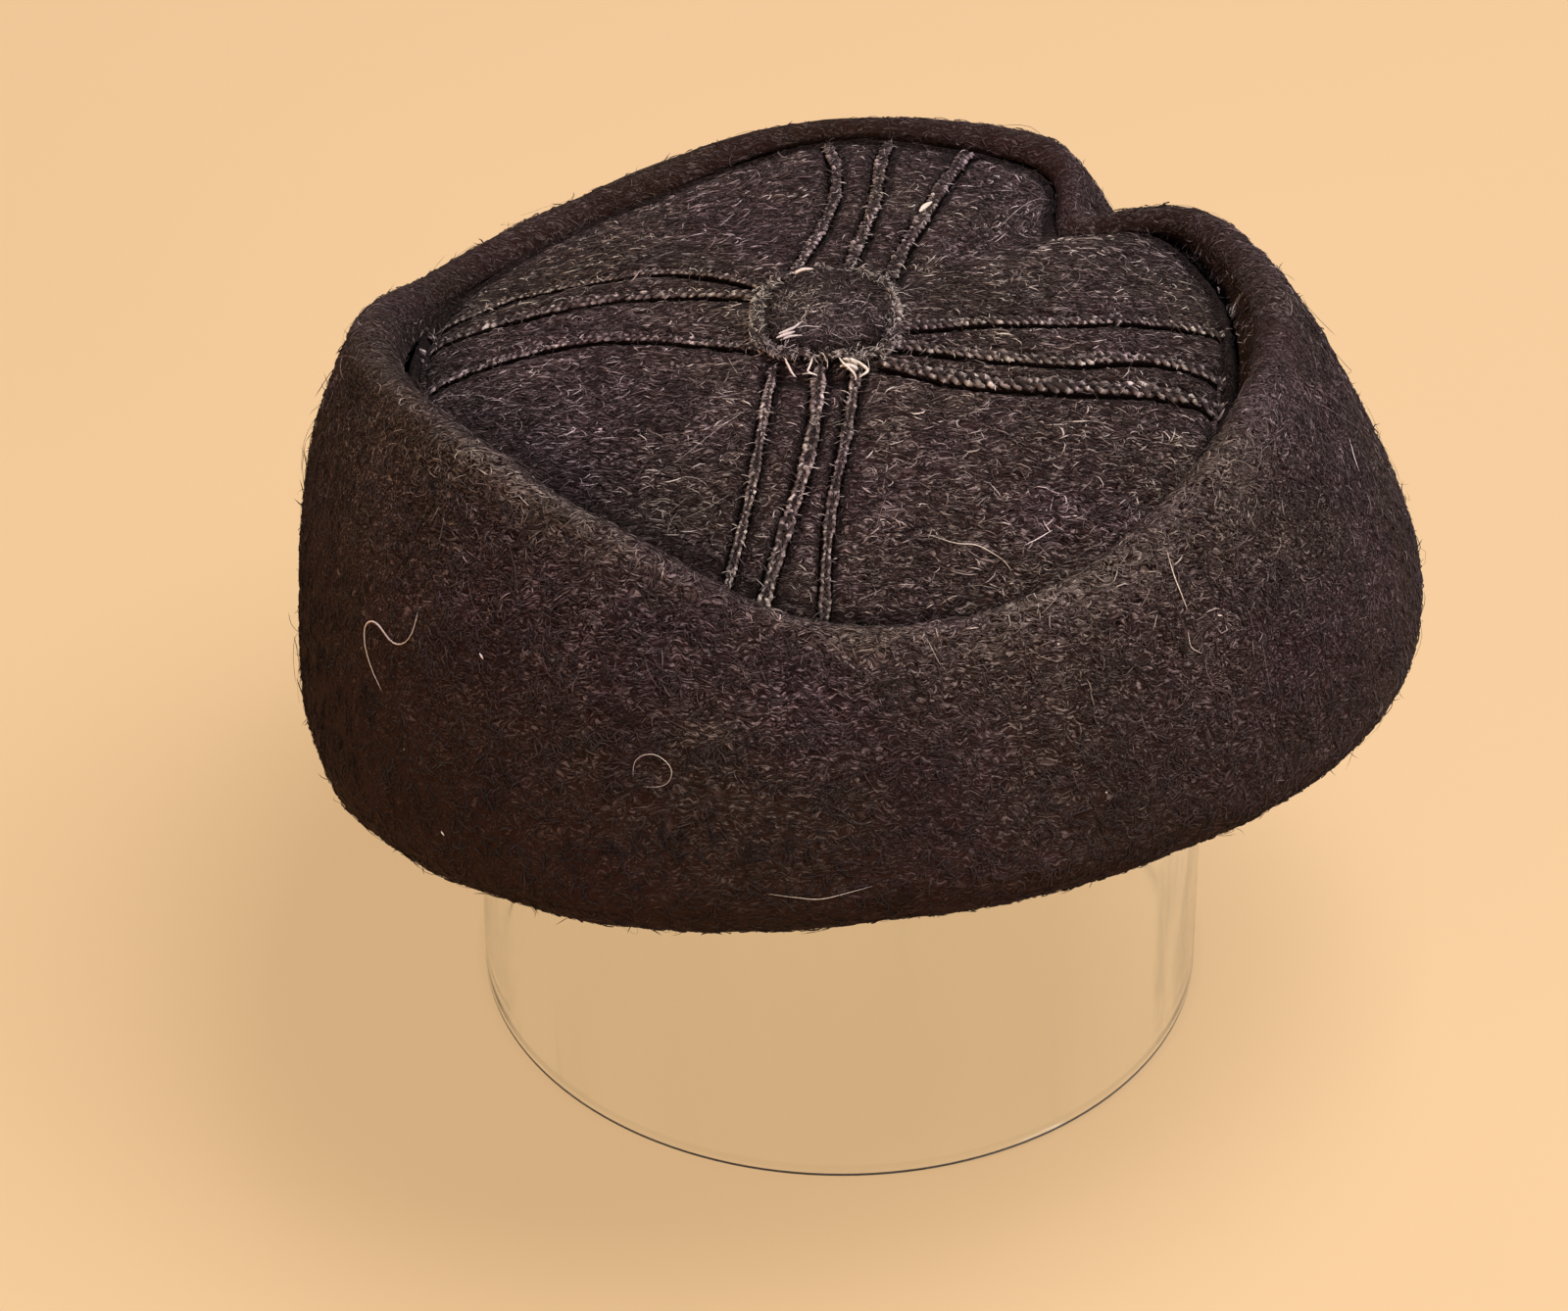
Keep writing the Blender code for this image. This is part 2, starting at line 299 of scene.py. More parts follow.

# %% [markdown]
# ## The felt's finish
# The mesh below carries three marks on its points: how pale a spot is, from wear at the
# fold and at the rim's edge, where part of it is a painted highlight; how much painted
# shade it carries, beside the sewn braids, in creases, round the disc and behind the rim;
# and how far down the cuff it is. The finish reads them and paints the pale wear and
# highlight, the shade and the darker bottom into the felt's colour.

# %% Felt material
FELT_DEEP = (0.0030, 0.0013, 0.0011)
FELT_BODY = (0.0200, 0.0117, 0.0110)
FELT_UNDER = (0.0720, 0.0510, 0.0490)
FELT_TIPS = (0.2600, 0.2180, 0.2100)
FELT_WORN_AND_LIT = (0.2900, 0.2550, 0.2520)
FELT_LOW = (0.0230, 0.0110, 0.0071)
LINT_COLOR = (0.42, 0.38, 0.33)


def felt_material(name, hairs):
    mat, tree, shader = new_material(name)
    coords = object_coords(tree)
    wool = place_group(tree, matted_wool, Coords=coords, Hairs=hairs,
                       Deep=FELT_DEEP, Body=FELT_BODY, Under=FELT_UNDER,
                       Tips=FELT_TIPS)
    color, height = wool.outputs["Color"], wool.outputs["Height"]
    marks = tree.nodes.new("ShaderNodeVertexColor")
    marks.layer_name = "marks"
    worn_and_lit, shaded, low = add_node(
        tree, "SeparateColor", Color=marks.outputs["Color"]).outputs[:3]
    wear_and_highlight_amount = combine(tree, "MULTIPLY", worn_and_lit, spread(tree, height, 0.5, 1.4))
    # Paints the pale mark (wear, and a painted highlight on the front rim), the shaded
    # mark (painted shade, toward the deepest felt colour) and the low mark (darker toward
    # the cuff's bottom).
    for amount, strength, paint in ((wear_and_highlight_amount, 0.7, FELT_WORN_AND_LIT),
                                    (shaded, 0.95, FELT_DEEP),
                                    (low, 0.85, FELT_LOW)):
        color = blend_colors(tree, combine(tree, "MULTIPLY", amount,
                                           strength), color, paint)
    specks = place_group(tree, lint, Coords=coords, Scale=210.0, Share=0.018)
    color = blend_colors(tree, specks.outputs["Mask"], color, LINT_COLOR)
    dyed = place_group(tree, faded_dye, Coords=coords, Color=color)
    feed(tree, shader, Base_Color=dyed.outputs["Color"], Roughness=1.0,
         Specular_IOR_Level=0.03, Sheen_Weight=0.03, Sheen_Roughness=0.45,
         Sheen_Tint=(0.75, 0.62, 0.60))
    relief(tree, shader, height, 0.4 * MM)
    return mat


felt_finish = felt_material("felt_wool", hairs=0.8)
disc_finish = felt_material("felt_disc", hairs=0.9)
print("felt finishes:", felt_finish.name, disc_finish.name)

# %% [markdown]
# ## The shape of the felt
# The cap is described the way a hat maker would lay out a block: twelve
# sections round the head, each with the radius and height of the fold, of the
# rim and of the crown's edge. A smooth curve runs through each column, so the
# cap has no corners between the sections. The numbers follow the solid's own.
# The rim's roll is a little fuller and closes on the crown, and a few rims and
# folds are moved by a millimetre or two to meet the photo's outline.

# %% Sections round the cap
CAP_X, CAP_Y = stand_x - 1.0 * MM, stand_y - 1.5 * MM
CROWN_TOP = 170.0 * MM
FELT_THICK = 3.0 * MM
CUFF_THICK = 5.0 * MM
CROWN_ROUND = 2.2 * MM
GROOVE_DEPTH = 0.87
DOME_POWER = 2.2
CROWN_ROWS = 66
FOLD_DEPTH = 24.0 * MM
FOLD_RISE = 14.0 * MM
PINCH_AT, PINCH_SPREAD = 46.5, 7.2
PINCH_DEPTH, PINCH_DROP = 18.0 * MM, 3.0 * MM
RIM_LEAN = math.radians(30.0)

SECTIONS = {
    "angle": (0, 30, 60, 90, 120, 150, 180, 210, 240, 270, 300, 330),
    "fold_r": (126, 120, 120, 125, 124, 116, 113, 124, 128, 123, 122, 127),
    "fold_z": (96, 93, 91, 92, 94, 93, 89, 87, 94, 100.5, 101.5, 99),
    "rim_r": (92, 95.5, 92.5, 89, 87, 93, 98, 93.8, 87.8, 86.8, 87.8, 91),
    "rim_z": (172, 163.5, 164, 165, 158, 156, 169, 178, 169, 154, 157, 170),
    "rim_half": (5, 5, 4.4, 3.9, 5.0, 5.4, 5.4, 4.6, 3.8, 3.6, 3.6, 4.2),
    "gap": (3.4, 3.4, 0.5, 0.4, 0.8, 0.9, 1.3, 0.4, 0.3, 0.3, 0.3, 1.0),
    "crown_z": (162, 159, 160, 162, 156, 153, 159, 161, 157, 148, 150, 159),
    "bulge": (3, 4, 5, 5, 5, 5, 4, 5, 5, 5, 5, 5),
}


# %% Curves through the sections
def along(name, angles):
    """Column value at any angles in degrees, smooth all the way round."""
    row = np.array(SECTIONS[name], float)
    n = len(row)
    u = (np.asarray(angles, float) % 360.0) / (360.0 / n)
    i = np.floor(u).astype(int) % n
    t = u - np.floor(u)
    p0, p1, p2, p3 = (row[(i + j) % n] for j in (-1, 0, 1, 2))
    curve = (2 * p1 + (p2 - p0) * t
             + (2 * p0 - 5 * p1 + 4 * p2 - p3) * t ** 2
             + (3 * p1 - p0 - 3 * p2 + p3) * t ** 3)
    return 0.5 * curve * MM


def pinch(angles):
    off = (np.asarray(angles, float) - PINCH_AT + 180.0) % 360.0 - 180.0
    return np.exp(-(off / PINCH_SPREAD) ** 2)


def rim_at(angles):
    r = along("rim_r", angles) - PINCH_DEPTH * pinch(angles)
    z = along("rim_z", angles) - PINCH_DROP * pinch(angles)
    return r, z, along("rim_half", angles) + 0.8 * MM * pinch(angles)


def crown_edge(angles):
    r, z, half = rim_at(angles)
    return r - half - along("gap", angles), along("crown_z", angles)


def dome(r, angles):
    """Height of the crown's outer skin."""
    edge_r, edge_z = crown_edge(angles)
    s = np.clip(r / edge_r, 0.0, 1.0)
    return CROWN_TOP - (CROWN_TOP - edge_z) * s ** DOME_POWER


def crown_height(x, y):
    dx, dy = np.asarray(x) - CAP_X, np.asarray(y) - CAP_Y
    return dome(np.hypot(dx, dy), np.degrees(np.arctan2(dy, dx)))


print("crown over the disc: %.1f mm" % (1000 * float(crown_height(0, 0))))

# %% [markdown]
# ## The braids' course over the crown
# Twelve narrow braids run in four arms of three from the disc to the crown's
# edge. They aren't straight: each one drifts a little, as hand sewing does.
# Their lines are needed first, because the felt sinks beside each of them.

# %% Course of each braid
DISC_X, DISC_Y = stand_x - 3.8 * MM, stand_y - 0.5 * MM
BRAIDS = (
    # name, heading, half width, start, how far it drifts to the left (mm)
    ("cord_left_back", 180, 1.0, 13, (-14, -24, -27, -24, -14)),
    ("cord_left_middle", 180, 1.4, 14, (-10, -14, -15, -12, -6)),
    ("cord_left_front", 180, 1.1, 14, (10, 4.5, 2, 4.5, 12)),
    ("cord_right_back", 0, 1.3, 14, (-3, 1, 4, 7, 7)),
    ("cord_right_middle", 0, 1.5, 14, (-9, -11, -12, -6.5, -10)),
    ("cord_right_front", 0, 1.8, 11, (-15, -20, -21, -18, -20)),
    ("cord_front_left", 270, 1.0, 16, (-11, -12.5, -15, -17.5, -21)),
    ("cord_front_middle", 270, 1.4, 16, (-1, -2, -5, -9, -14)),
    ("cord_front_right", 270, 1.1, 16, (7, 4.5, 2, 0, -1)),
    ("cord_back_left", 90, 1.2, 19, (7, 1, -2, -3, -1)),
    ("cord_back_middle", 90, 1.3, 19, (-5, -8.5, -11, -12.5, -14.5)),
    ("cord_back_right", 90, 1.4, 16, (-14, -17.5, -23, -27, -32)),
)
BRAID_END = 1.2 * MM
COURSE_POINTS = 60


def softened(places, count):
    """A line through some places with its corners smoothed away."""
    places = np.asarray(places, float)
    t = np.linspace(0.0, len(places) - 1.0, count)
    line = np.stack([np.interp(t, np.arange(len(places)), places[:, k])
                     for k in range(places.shape[1])], 1)
    for _ in range(count // len(places) * 2):
        line[1:-1] = 0.25 * line[:-2] + 0.5 * line[1:-1] + 0.25 * line[2:]
    return line


def braid_course(row, count):
    """Plan points of one braid, from the disc to the crown's edge."""
    name, heading, half, start, drift = row
    a = math.radians(heading)
    ahead = np.array((math.cos(a), math.sin(a)))
    left = np.array((-ahead[1], ahead[0]))
    centre = np.array((DISC_X, DISC_Y))
    reach = start * MM
    inside = True
    while inside:
        reach += 0.5 * MM
        x, y = centre + ahead * reach + left * drift[-1] * MM
        angle = math.degrees(math.atan2(y - CAP_Y, x - CAP_X))
        limit = crown_edge(angle)[0] - BRAID_END
        inside = math.hypot(x - CAP_X, y - CAP_Y) < limit
    side = softened([[value] for value in drift], count) * MM
    distance = np.linspace(start * MM, reach, count)[:, None]
    return centre + ahead * distance + left * side


courses = {row[0]: braid_course(row, COURSE_POINTS) for row in BRAIDS}
for name, line in courses.items():
    run = np.linalg.norm(np.diff(line, axis=0), axis=1).sum()
    print("%-18s %.0f mm" % (name, run * 1000))

# %% [markdown]
# ## The felt body
# Each section is a closed line: over the crown, down the hidden wall, round
# the groove's floor, up the inside of the cuff, over the rounded rim, down
# the outside, under the fold and back up inside. Four hundred such lines
# round the cap make a mesh fine enough for soft dents. It is built from rows
# of points, because that keeps a tidy grid for the unwrapped map.

# %% The outside of the cuff
AROUND = 400
RIM_STEPS = 12


def steps(count, start=0.0, stop=1.0):
    return np.linspace(start, stop, count)


def cuff_face(angles, s):
    """Outside of the cuff: s = 0 at its widest, s = 1 where the rim starts."""
    rim_r, rim_z, half = rim_at(angles)
    fold_r = along("fold_r", angles)
    low = along("fold_z", angles) + FOLD_RISE
    end_r = rim_r + half * math.cos(RIM_LEAN)
    end_z = rim_z - half + half * math.sin(RIM_LEAN)
    r = fold_r + (end_r - fold_r) * s
    r = r + along("bulge", angles) * 4.0 * s * (1.0 - s)
    return r, low + (end_z - low) * s


# %% One section through the felt
def felt_sections(angles):
    """Radii and heights of all section points, and the zone of each."""
    a = angles
    rim_r, rim_z, half = rim_at(a)
    edge_r, edge_z = crown_edge(a)
    fold_r, fold_z = along("fold_r", a), along("fold_z", a)
    wall_r, wall_z = fold_r - FOLD_DEPTH, fold_z + FOLD_RISE
    free_r = edge_r + PINCH_DEPTH * pinch(a)
    last_r = edge_r - CROWN_ROUND
    last_z = dome(last_r, a)
    top_z = last_z - CROWN_ROUND
    rows = []

    def add(zone, r, z):
        rows.append((zone, r, z))

    for s in steps(CROWN_ROWS, 1.0 / CROWN_ROWS, 1.0):
        add("crown", last_r * s, dome(last_r * s, a))
    for turn in np.radians((18, 36, 54, 72, 90)):
        add("crown_edge", last_r + CROWN_ROUND * math.sin(turn),
            last_z - CROWN_ROUND * (1 - math.cos(turn)))
    for s in (0.06, 0.12, 0.3, 0.5, 0.75, 1.0):
        add("wall", free_r + (wall_r - free_r) * s,
            top_z + (wall_z - top_z) * s)
    floor_z = fold_z + CUFF_THICK
    inner_r = fold_r - CUFF_THICK
    mid_r = 0.5 * (wall_r + inner_r)
    for turn in np.radians((30, 60, 90, 120, 150)):
        add("groove", mid_r - 0.5 * (inner_r - wall_r) * math.cos(turn),
            wall_z - (wall_z - floor_z) * math.sin(turn))
    for s in steps(14, 0.0, 0.96):
        r, z = cuff_face(a, s)
        thick = CUFF_THICK + (2.0 * half - CUFF_THICK) * s
        wall_here = free_r + (wall_r - free_r) * np.clip(
            (top_z - z) / (top_z - wall_z), 0.0, 1.0)
        touch = (math.exp(-((s - GROOVE_DEPTH) / 0.06) ** 2)
                 * (1.0 - pinch(a)))
        inside = np.maximum(r - thick, wall_here + 0.4 * MM)
        add("cuff_inside",
            inside + (wall_here + 0.4 * MM - inside) * touch, z)
    for turn in np.radians(steps(RIM_STEPS, 165.0, 30.0 + 11.0)):
        add("rim", rim_r + half * math.cos(turn),
            rim_z - half + half * math.sin(turn))
    for s in steps(56, 1.0, 0.0):
        r, z = cuff_face(a, s)
        add("cuff", r, z)
    bottom_r = wall_r - FELT_THICK
    mid_r = 0.5 * (bottom_r + fold_r)
    for turn in np.radians(steps(14, 12.0, 180.0)):
        add("fold", mid_r + 0.5 * (fold_r - bottom_r) * math.cos(turn),
            wall_z - FOLD_RISE * math.sin(turn))
    for s in (0.75, 0.5, 0.3, 0.12, 0.06):
        add("inside", free_r + (wall_r - free_r) * s - FELT_THICK,
            top_z + (wall_z - top_z) * s)
    add("inside", edge_r - FELT_THICK, top_z)
    for s in steps(12, 0.93, 0.06):
        add("inside", last_r * s, dome(last_r * s, a) - FELT_THICK)
    zones = [row[0] for row in rows]
    return (np.array([row[1] for row in rows]),
            np.array([row[2] for row in rows]), zones)


# %% All sections as one grid
angles = np.arange(AROUND) * (360.0 / AROUND)
radii, heights, zones = felt_sections(angles)
ROWS = len(zones)
turn = np.radians(angles)
felt_points = np.stack([CAP_X + radii * np.cos(turn),
                        CAP_Y + radii * np.sin(turn), heights], axis=2)
print("felt grid %d x %d" % (ROWS, AROUND))

# %% [markdown]
# ## Dents, lumps and furrows
# A hat that has been worn is never a clean turning. Slow noise moves the
# surface a millimetre or two, faster noise gives it the small lumps of thick
# felt, and beside every braid the stitches pull the crown down. The moves go
# along the surface's own normal, so the walls keep their thickness.


# %% Measure the surface
def grid_normals(points):
    """Normals of a grid that is closed round its second axis."""
    round_way = np.roll(points, -1, axis=1) - np.roll(points, 1, axis=1)
    down_way = np.gradient(points, axis=0)
    n = np.cross(round_way, down_way)
    return n / (np.linalg.norm(n, axis=2)[..., None] + 1e-12)


def smooth_noise(points, size, seed):
    """Perlin noise of about the given size for every point, -1 to 1."""
    flat = points.reshape(-1, 3) / size + seed * 17.3
    values = [noise.noise(Vector(p)) for p in flat]
    return np.array(values).reshape(points.shape[:2])


def braid_distance(points):
    """Plan distance from each crown point to the nearest braid's edge."""
    flat = points[..., :2].reshape(-1, 2)
    best = np.full(len(flat), 1.0)
    for row in BRAIDS:
        line = courses[row[0]]
        for k in range(len(line) - 1):
            p, q = line[k], line[k + 1]
            d = q - p
            t = np.clip(((flat - p) @ d) / (d @ d), 0.0, 1.0)
            near = np.linalg.norm(flat - p - t[:, None] * d, axis=1)
            best = np.minimum(best, near - row[2] * MM)
    return best.reshape(points.shape[:2])


# %% Places on the felt
zone_rows = {z: [i for i, name in enumerate(zones) if name == z]
             for z in dict.fromkeys(zones)}
CAP_MIDDLE = np.array((CAP_X, CAP_Y, 0.1))


def outward_normals(points):
    """Normals that point out of the felt, whichever way the grid runs."""
    n, cuff = grid_normals(points), zone_rows["cuff"]
    return -n if (n[cuff] * (points[cuff] - CAP_MIDDLE)).sum() < 0 else n


def in_zones(*names):
    """A column with 1 in the rows of these zones and 0 in all others."""
    return np.array([name in names for name in zones], float)[:, None]


def hump(value, middle, width):
    """A soft bump: 1 at its middle, almost nothing two widths away."""
    return np.exp(-((value - middle) / width) ** 2)


# %% Sink the furrows and add the lumps
outward = outward_normals(felt_points)
shown = in_zones("crown", "crown_edge", "rim", "cuff", "fold")
on_crown, on_edge = in_zones("crown"), in_zones("crown_edge")
on_cuff = in_zones("cuff", "rim", "fold")
far_braid = braid_distance(felt_points)
furrow = on_crown * hump(far_braid, 0.5 * MM, 0.75 * MM)
under = on_crown * (far_braid < 0.0)
from_edge = crown_edge(angles)[0][None] - np.hypot(
    felt_points[..., 0] - CAP_X, felt_points[..., 1] - CAP_Y)
crease = on_crown * hump(np.maximum(from_edge - 1.5 * MM, 0), 0, 1.8 * MM)
pocket = (on_crown * hump(from_edge, 0, 4.5 * MM)
          * (hump(angles, 182.0, 13.0) + hump(angles, 347.0, 9.0)))
x, y = felt_points[..., 0] - DISC_X, felt_points[..., 1] - DISC_Y
# A thin ring of painted shade on the crown, in the gap under the ring cord's inner edge.
ring_gap_shade = on_crown * hump(np.hypot(x / 12.2, y / 14.6), 1.0 * MM, 0.08 * MM)
apron = on_crown * (hump(y, -20.3 * MM, 2.6 * MM)
                    * np.exp(-((x + 3 * MM) / (12 * MM)) ** 4))

DENTS = (
    # size and height of the noise (mm), its seed, and where it acts
    (45, 1.2, 1, on_cuff), (22, 0.7, 2, shown), (9, 0.28, 3, shown),
    (3.2, 0.14, 4, shown),
)
SUNK = ((furrow, 1.1), (under, 0.2), (apron, 1.8), (crease, 1.2),
        (pocket, 3.5))  # how many millimetres each place lies deeper
lift = sum(smooth_noise(felt_points, size * MM, seed) * high * MM * where
           for size, high, seed, where in DENTS)
for place, deep in SUNK:
    lift = lift - place * deep * MM
felt_points = felt_points + outward * lift[..., None]
print("largest move %.2f mm" % (1000 * np.abs(lift).max()))

# %% [markdown]
# ## From grid to mesh
# The grid becomes quads, with one point at each end of the sections to close
# the crown. The unwrapped map is the grid itself, laid flat, so nothing in it
# overlaps.


# %% Mesh helpers
def link_mesh(name, points, faces, material):
    mesh = bpy.data.meshes.new(name)
    mesh.from_pydata(np.asarray(points).tolist(), [],
                     [tuple(f) for f in faces])
    mesh.materials.append(material)
    mesh.polygons.foreach_set("use_smooth", [True] * len(mesh.polygons))
    mesh.update()
    obj = bpy.data.objects.new(name, mesh)
    bpy.context.scene.collection.objects.link(obj)
    return obj


def grid_faces(rows, columns):
    """Quads of a grid that is closed round its columns."""
    i = np.arange(rows - 1)[:, None]
    j = np.arange(columns)[None, :]
    k = (j + 1) % columns
    quads = np.stack([i * columns + j + 0 * k, (i + 1) * columns + j,
                      (i + 1) * columns + k, i * columns + k], axis=2)
    return quads.reshape(-1, 4)


def grid_map(columns, v):
    """The map of a grid's quads: its columns across, its rows at v."""
    u = np.arange(columns)[:, None] / columns
    uv = np.empty((len(v) - 1, columns, 4, 2))
    uv[..., :2, 0], uv[..., 2:, 0] = u, u + 1.0 / columns
    uv[..., (0, 3), 1] = v[:-1, None, None]
    uv[..., (1, 2), 1] = v[1:, None, None]
    return uv


def fan_map(columns, v_tip, v_edge, order=(0.0, 1.0)):
    """The map of the triangles that close one end of a grid."""
    u = np.arange(columns) / columns
    return np.stack([np.stack([u + step / columns, 0 * u + v], 1)
                     for step, v in ((0.5, v_tip), (order[0], v_edge),
                                     (order[1], v_edge))], 1)


def set_map(obj, *corner_uvs):
    layer = obj.data.uv_layers.new(name="OFBake")
    layer.data.foreach_set("uv", np.concatenate(
        [uv.ravel() for uv in corner_uvs]).astype("f4"))


def dress(piece, node=None):
    """Every piece rides on the one body, and may stand for a solid."""
    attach(piece, "root")
    if node:
        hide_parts(node)


# %% The felt mesh
top = len(felt_points.reshape(-1, 3))
bottom = top + 1
points = np.vstack([felt_points.reshape(-1, 3),
                    [[CAP_X, CAP_Y, CROWN_TOP],
                     [CAP_X, CAP_Y, CROWN_TOP - FELT_THICK]]])
quads = grid_faces(ROWS, AROUND)
j = np.arange(AROUND)
k = (j + 1) % AROUND
last = (ROWS - 1) * AROUND
faces = ([*quads] + [(top, a, b) for a, b in zip(j, k)]
         + [(bottom, last + b, last + a) for a, b in zip(j, k)])
felt_body = link_mesh("felt_body", points, faces, felt_finish)
v = 0.02 + 0.96 * np.arange(ROWS) / (ROWS - 1)
set_map(felt_body, grid_map(AROUND, v), fan_map(AROUND, 0.0, v[0]),
        fan_map(AROUND, 1.0, v[-1], (1.0, 0.0)))
dress(felt_body, "felt_cap")
print("felt mesh:", len(felt_body.data.polygons), "faces")

# %% [markdown]
# ## Where the felt is worn, lit and shaded
# Hands rub the rim pale at the front, and the table rubs the fold; on the front rim part
# of that paleness is a painted highlight. The bottom of the cuff is darker, and its front
# and the smooth roll at the back carry painted shade. Furrows, creases, the crown's edge
# and the strip behind the raised rim lie in shade. The lights give part of that, and the
# rest is painted shade. It could be painted by hand, but soft bumps over the angle round
# the cap, the row or the height are quicker to move. The three marks are stored as one
# colour on each point, and the hairs read them too.

# %% Marks
row_index = np.arange(ROWS)[:, None]
rim_row, fold_row = zone_rows["rim"], zone_rows["fold"][0]
crest = rim_row[0] + int(len(rim_row) * 0.55)
front_right, front_left = hump(angles, 310.0, 38.0), hump(angles, 222.0, 26.0)
left_side, right_side = hump(angles, 205.0, 32.0), hump(angles, 335.0, 32.0)

# lee: painted shadow on the crown just behind the raised front rim, where the rim hides it
# from the camera, and a broad soft one at the front left.
hidden = (np.maximum(along("rim_z", angles) - along("crown_z", angles), 0)
          * np.clip(-np.sin(turn), 0, 1) / math.tan(math.radians(LOOK_DOWN)))
past_rim = from_edge - 0.8 * hidden
lee = on_crown * (np.clip(1.0 - past_rim / (1.0 * MM), 0, 1)
                  * np.clip(1.5 - np.abs(angles - 250.0) / 30.0, 0, 0.55)
                  + 0.22 * front_left
                  * hump(np.maximum(past_rim, 0), 0, 9.0 * MM))
# Painted shade: beside the braids, in front of the disc and round it, in the crease and
# the pockets at the rim's corners, along the crown's edge and behind the raised front rim.
shade = np.clip(furrow + apron + ring_gap_shade + crease + pocket + lee
                + 0.9 * on_edge, 0, 1)

# The rim's pale band is partly wear from hands and partly a painted highlight, widest and
# brightest at the front right where the light falls on the rim. The fold's band is wear.
width = 3.0 + 3.5 * front_right + 1.0 * front_left
wear_and_highlight = (hump(row_index - crest - 2, 1.5 * front_right, width)
       * (0.25 + 0.50 * front_right + 0.40 * front_left))
wear_and_highlight = wear_and_highlight + 0.25 * hump(row_index - fold_row, 1, 5.0)
wear_and_highlight = np.clip(wear_and_highlight * (0.8 + 0.5 * smooth_noise(felt_points, 30 * MM, 7)), 0, 1)

low_cuff = (on_cuff * (1.0 - 0.35 * right_side) * np.clip(
    (0.150 + 0.018 * left_side - felt_points[..., 2]) / 0.045, 0.0, 1.0))
# The smooth roll at the back of the rim has few hairs and is darker; below it is given
# painted shade through the shaded mark.
far_side = np.maximum(np.clip(1.6 - np.abs(angles - 100.0) / 75.0, 0.0, 1.0),
                      hump(angles, 360.0, 14.0))
roll_end = rim_row[-1] - 5.0 * (angles < 85.0)
smooth_roll = (far_side * (row_index > zone_rows["cuff_inside"][0])
               * np.clip(1.0 - (row_index - roll_end) / 5.0, 0.0, 1.0))
low_cuff = np.maximum(low_cuff, 0.45 * smooth_roll)
# dim_front: painted shade on the cuff's front, kept off the pale rim.
dim_front = (on_cuff * hump(angles, 258.0, 26.0)
             * (1.0 - 0.7 * np.clip(2.0 * wear_and_highlight, 0, 1)))


def set_marks(obj, worn_and_lit, shaded, low):
    """Stores the three marks on the points; any point after them gets none."""
    marks = np.zeros((len(obj.data.vertices), 4))
    for k, values in enumerate((worn_and_lit, shaded, low)):
        marks[:values.size, k] = values.ravel()
    marks[:, 3] = 1.0
    layer = obj.data.color_attributes.new("marks", "FLOAT_COLOR", "POINT")
    layer.data.foreach_set("color", marks.astype("f4").ravel())


set_marks(felt_body, wear_and_highlight,
          np.maximum(shade, 0.42 * smooth_roll) + 0.18 * dim_front, low_cuff)
print("rubbed %.0f%%, shaded %.0f%% of the grid"
      % (100 * wear_and_highlight.mean(), 100 * shade.mean()))

# %% [markdown]
# ## One maker for every thread
# Hairs, braid strands, frays and loose threads are all the same thing: a thin
# round thing that follows a line and tapers at its ends. One function makes
# any number of them from arrays of points. Doing it with whole arrays rather
# than thread by thread is what makes tens of thousands of hairs quick.


# %% One mesh from arrays
CELL_FILL = 0.92  # share of its map cell that a thread covers


def array_mesh(name, points, quads, tris, quad_uv, tri_uv, tones, material):
    """A mesh straight from arrays, with its map and a tone per point."""
    mesh = bpy.data.meshes.new(name)
    mesh.vertices.add(len(points))
    mesh.vertices.foreach_set("co", points.astype("f4").ravel())
    corners = np.concatenate([quads.ravel(), tris.ravel()]).astype("i4")
    mesh.loops.add(len(corners))
    mesh.loops.foreach_set("vertex_index", corners)
    starts = np.concatenate([np.arange(len(quads)) * 4,
                             len(quads) * 4 + np.arange(len(tris)) * 3])
    mesh.polygons.add(len(starts))
    mesh.polygons.foreach_set("loop_start", starts.astype("i4"))
    mesh.update(calc_edges=True)
    mesh.polygons.foreach_set("use_smooth", [True] * len(starts))
    layer = mesh.uv_layers.new(name="OFBake")
    layer.data.foreach_set("uv", np.concatenate(
        [quad_uv.ravel(), tri_uv.ravel()]).astype("f4"))
    tone = mesh.attributes.new("tone", "FLOAT", "POINT")
    tone.data.foreach_set("value", tones.astype("f4"))
    mesh.materials.append(material)
    obj = bpy.data.objects.new(name, mesh)
    bpy.context.scene.collection.objects.link(obj)
    return obj


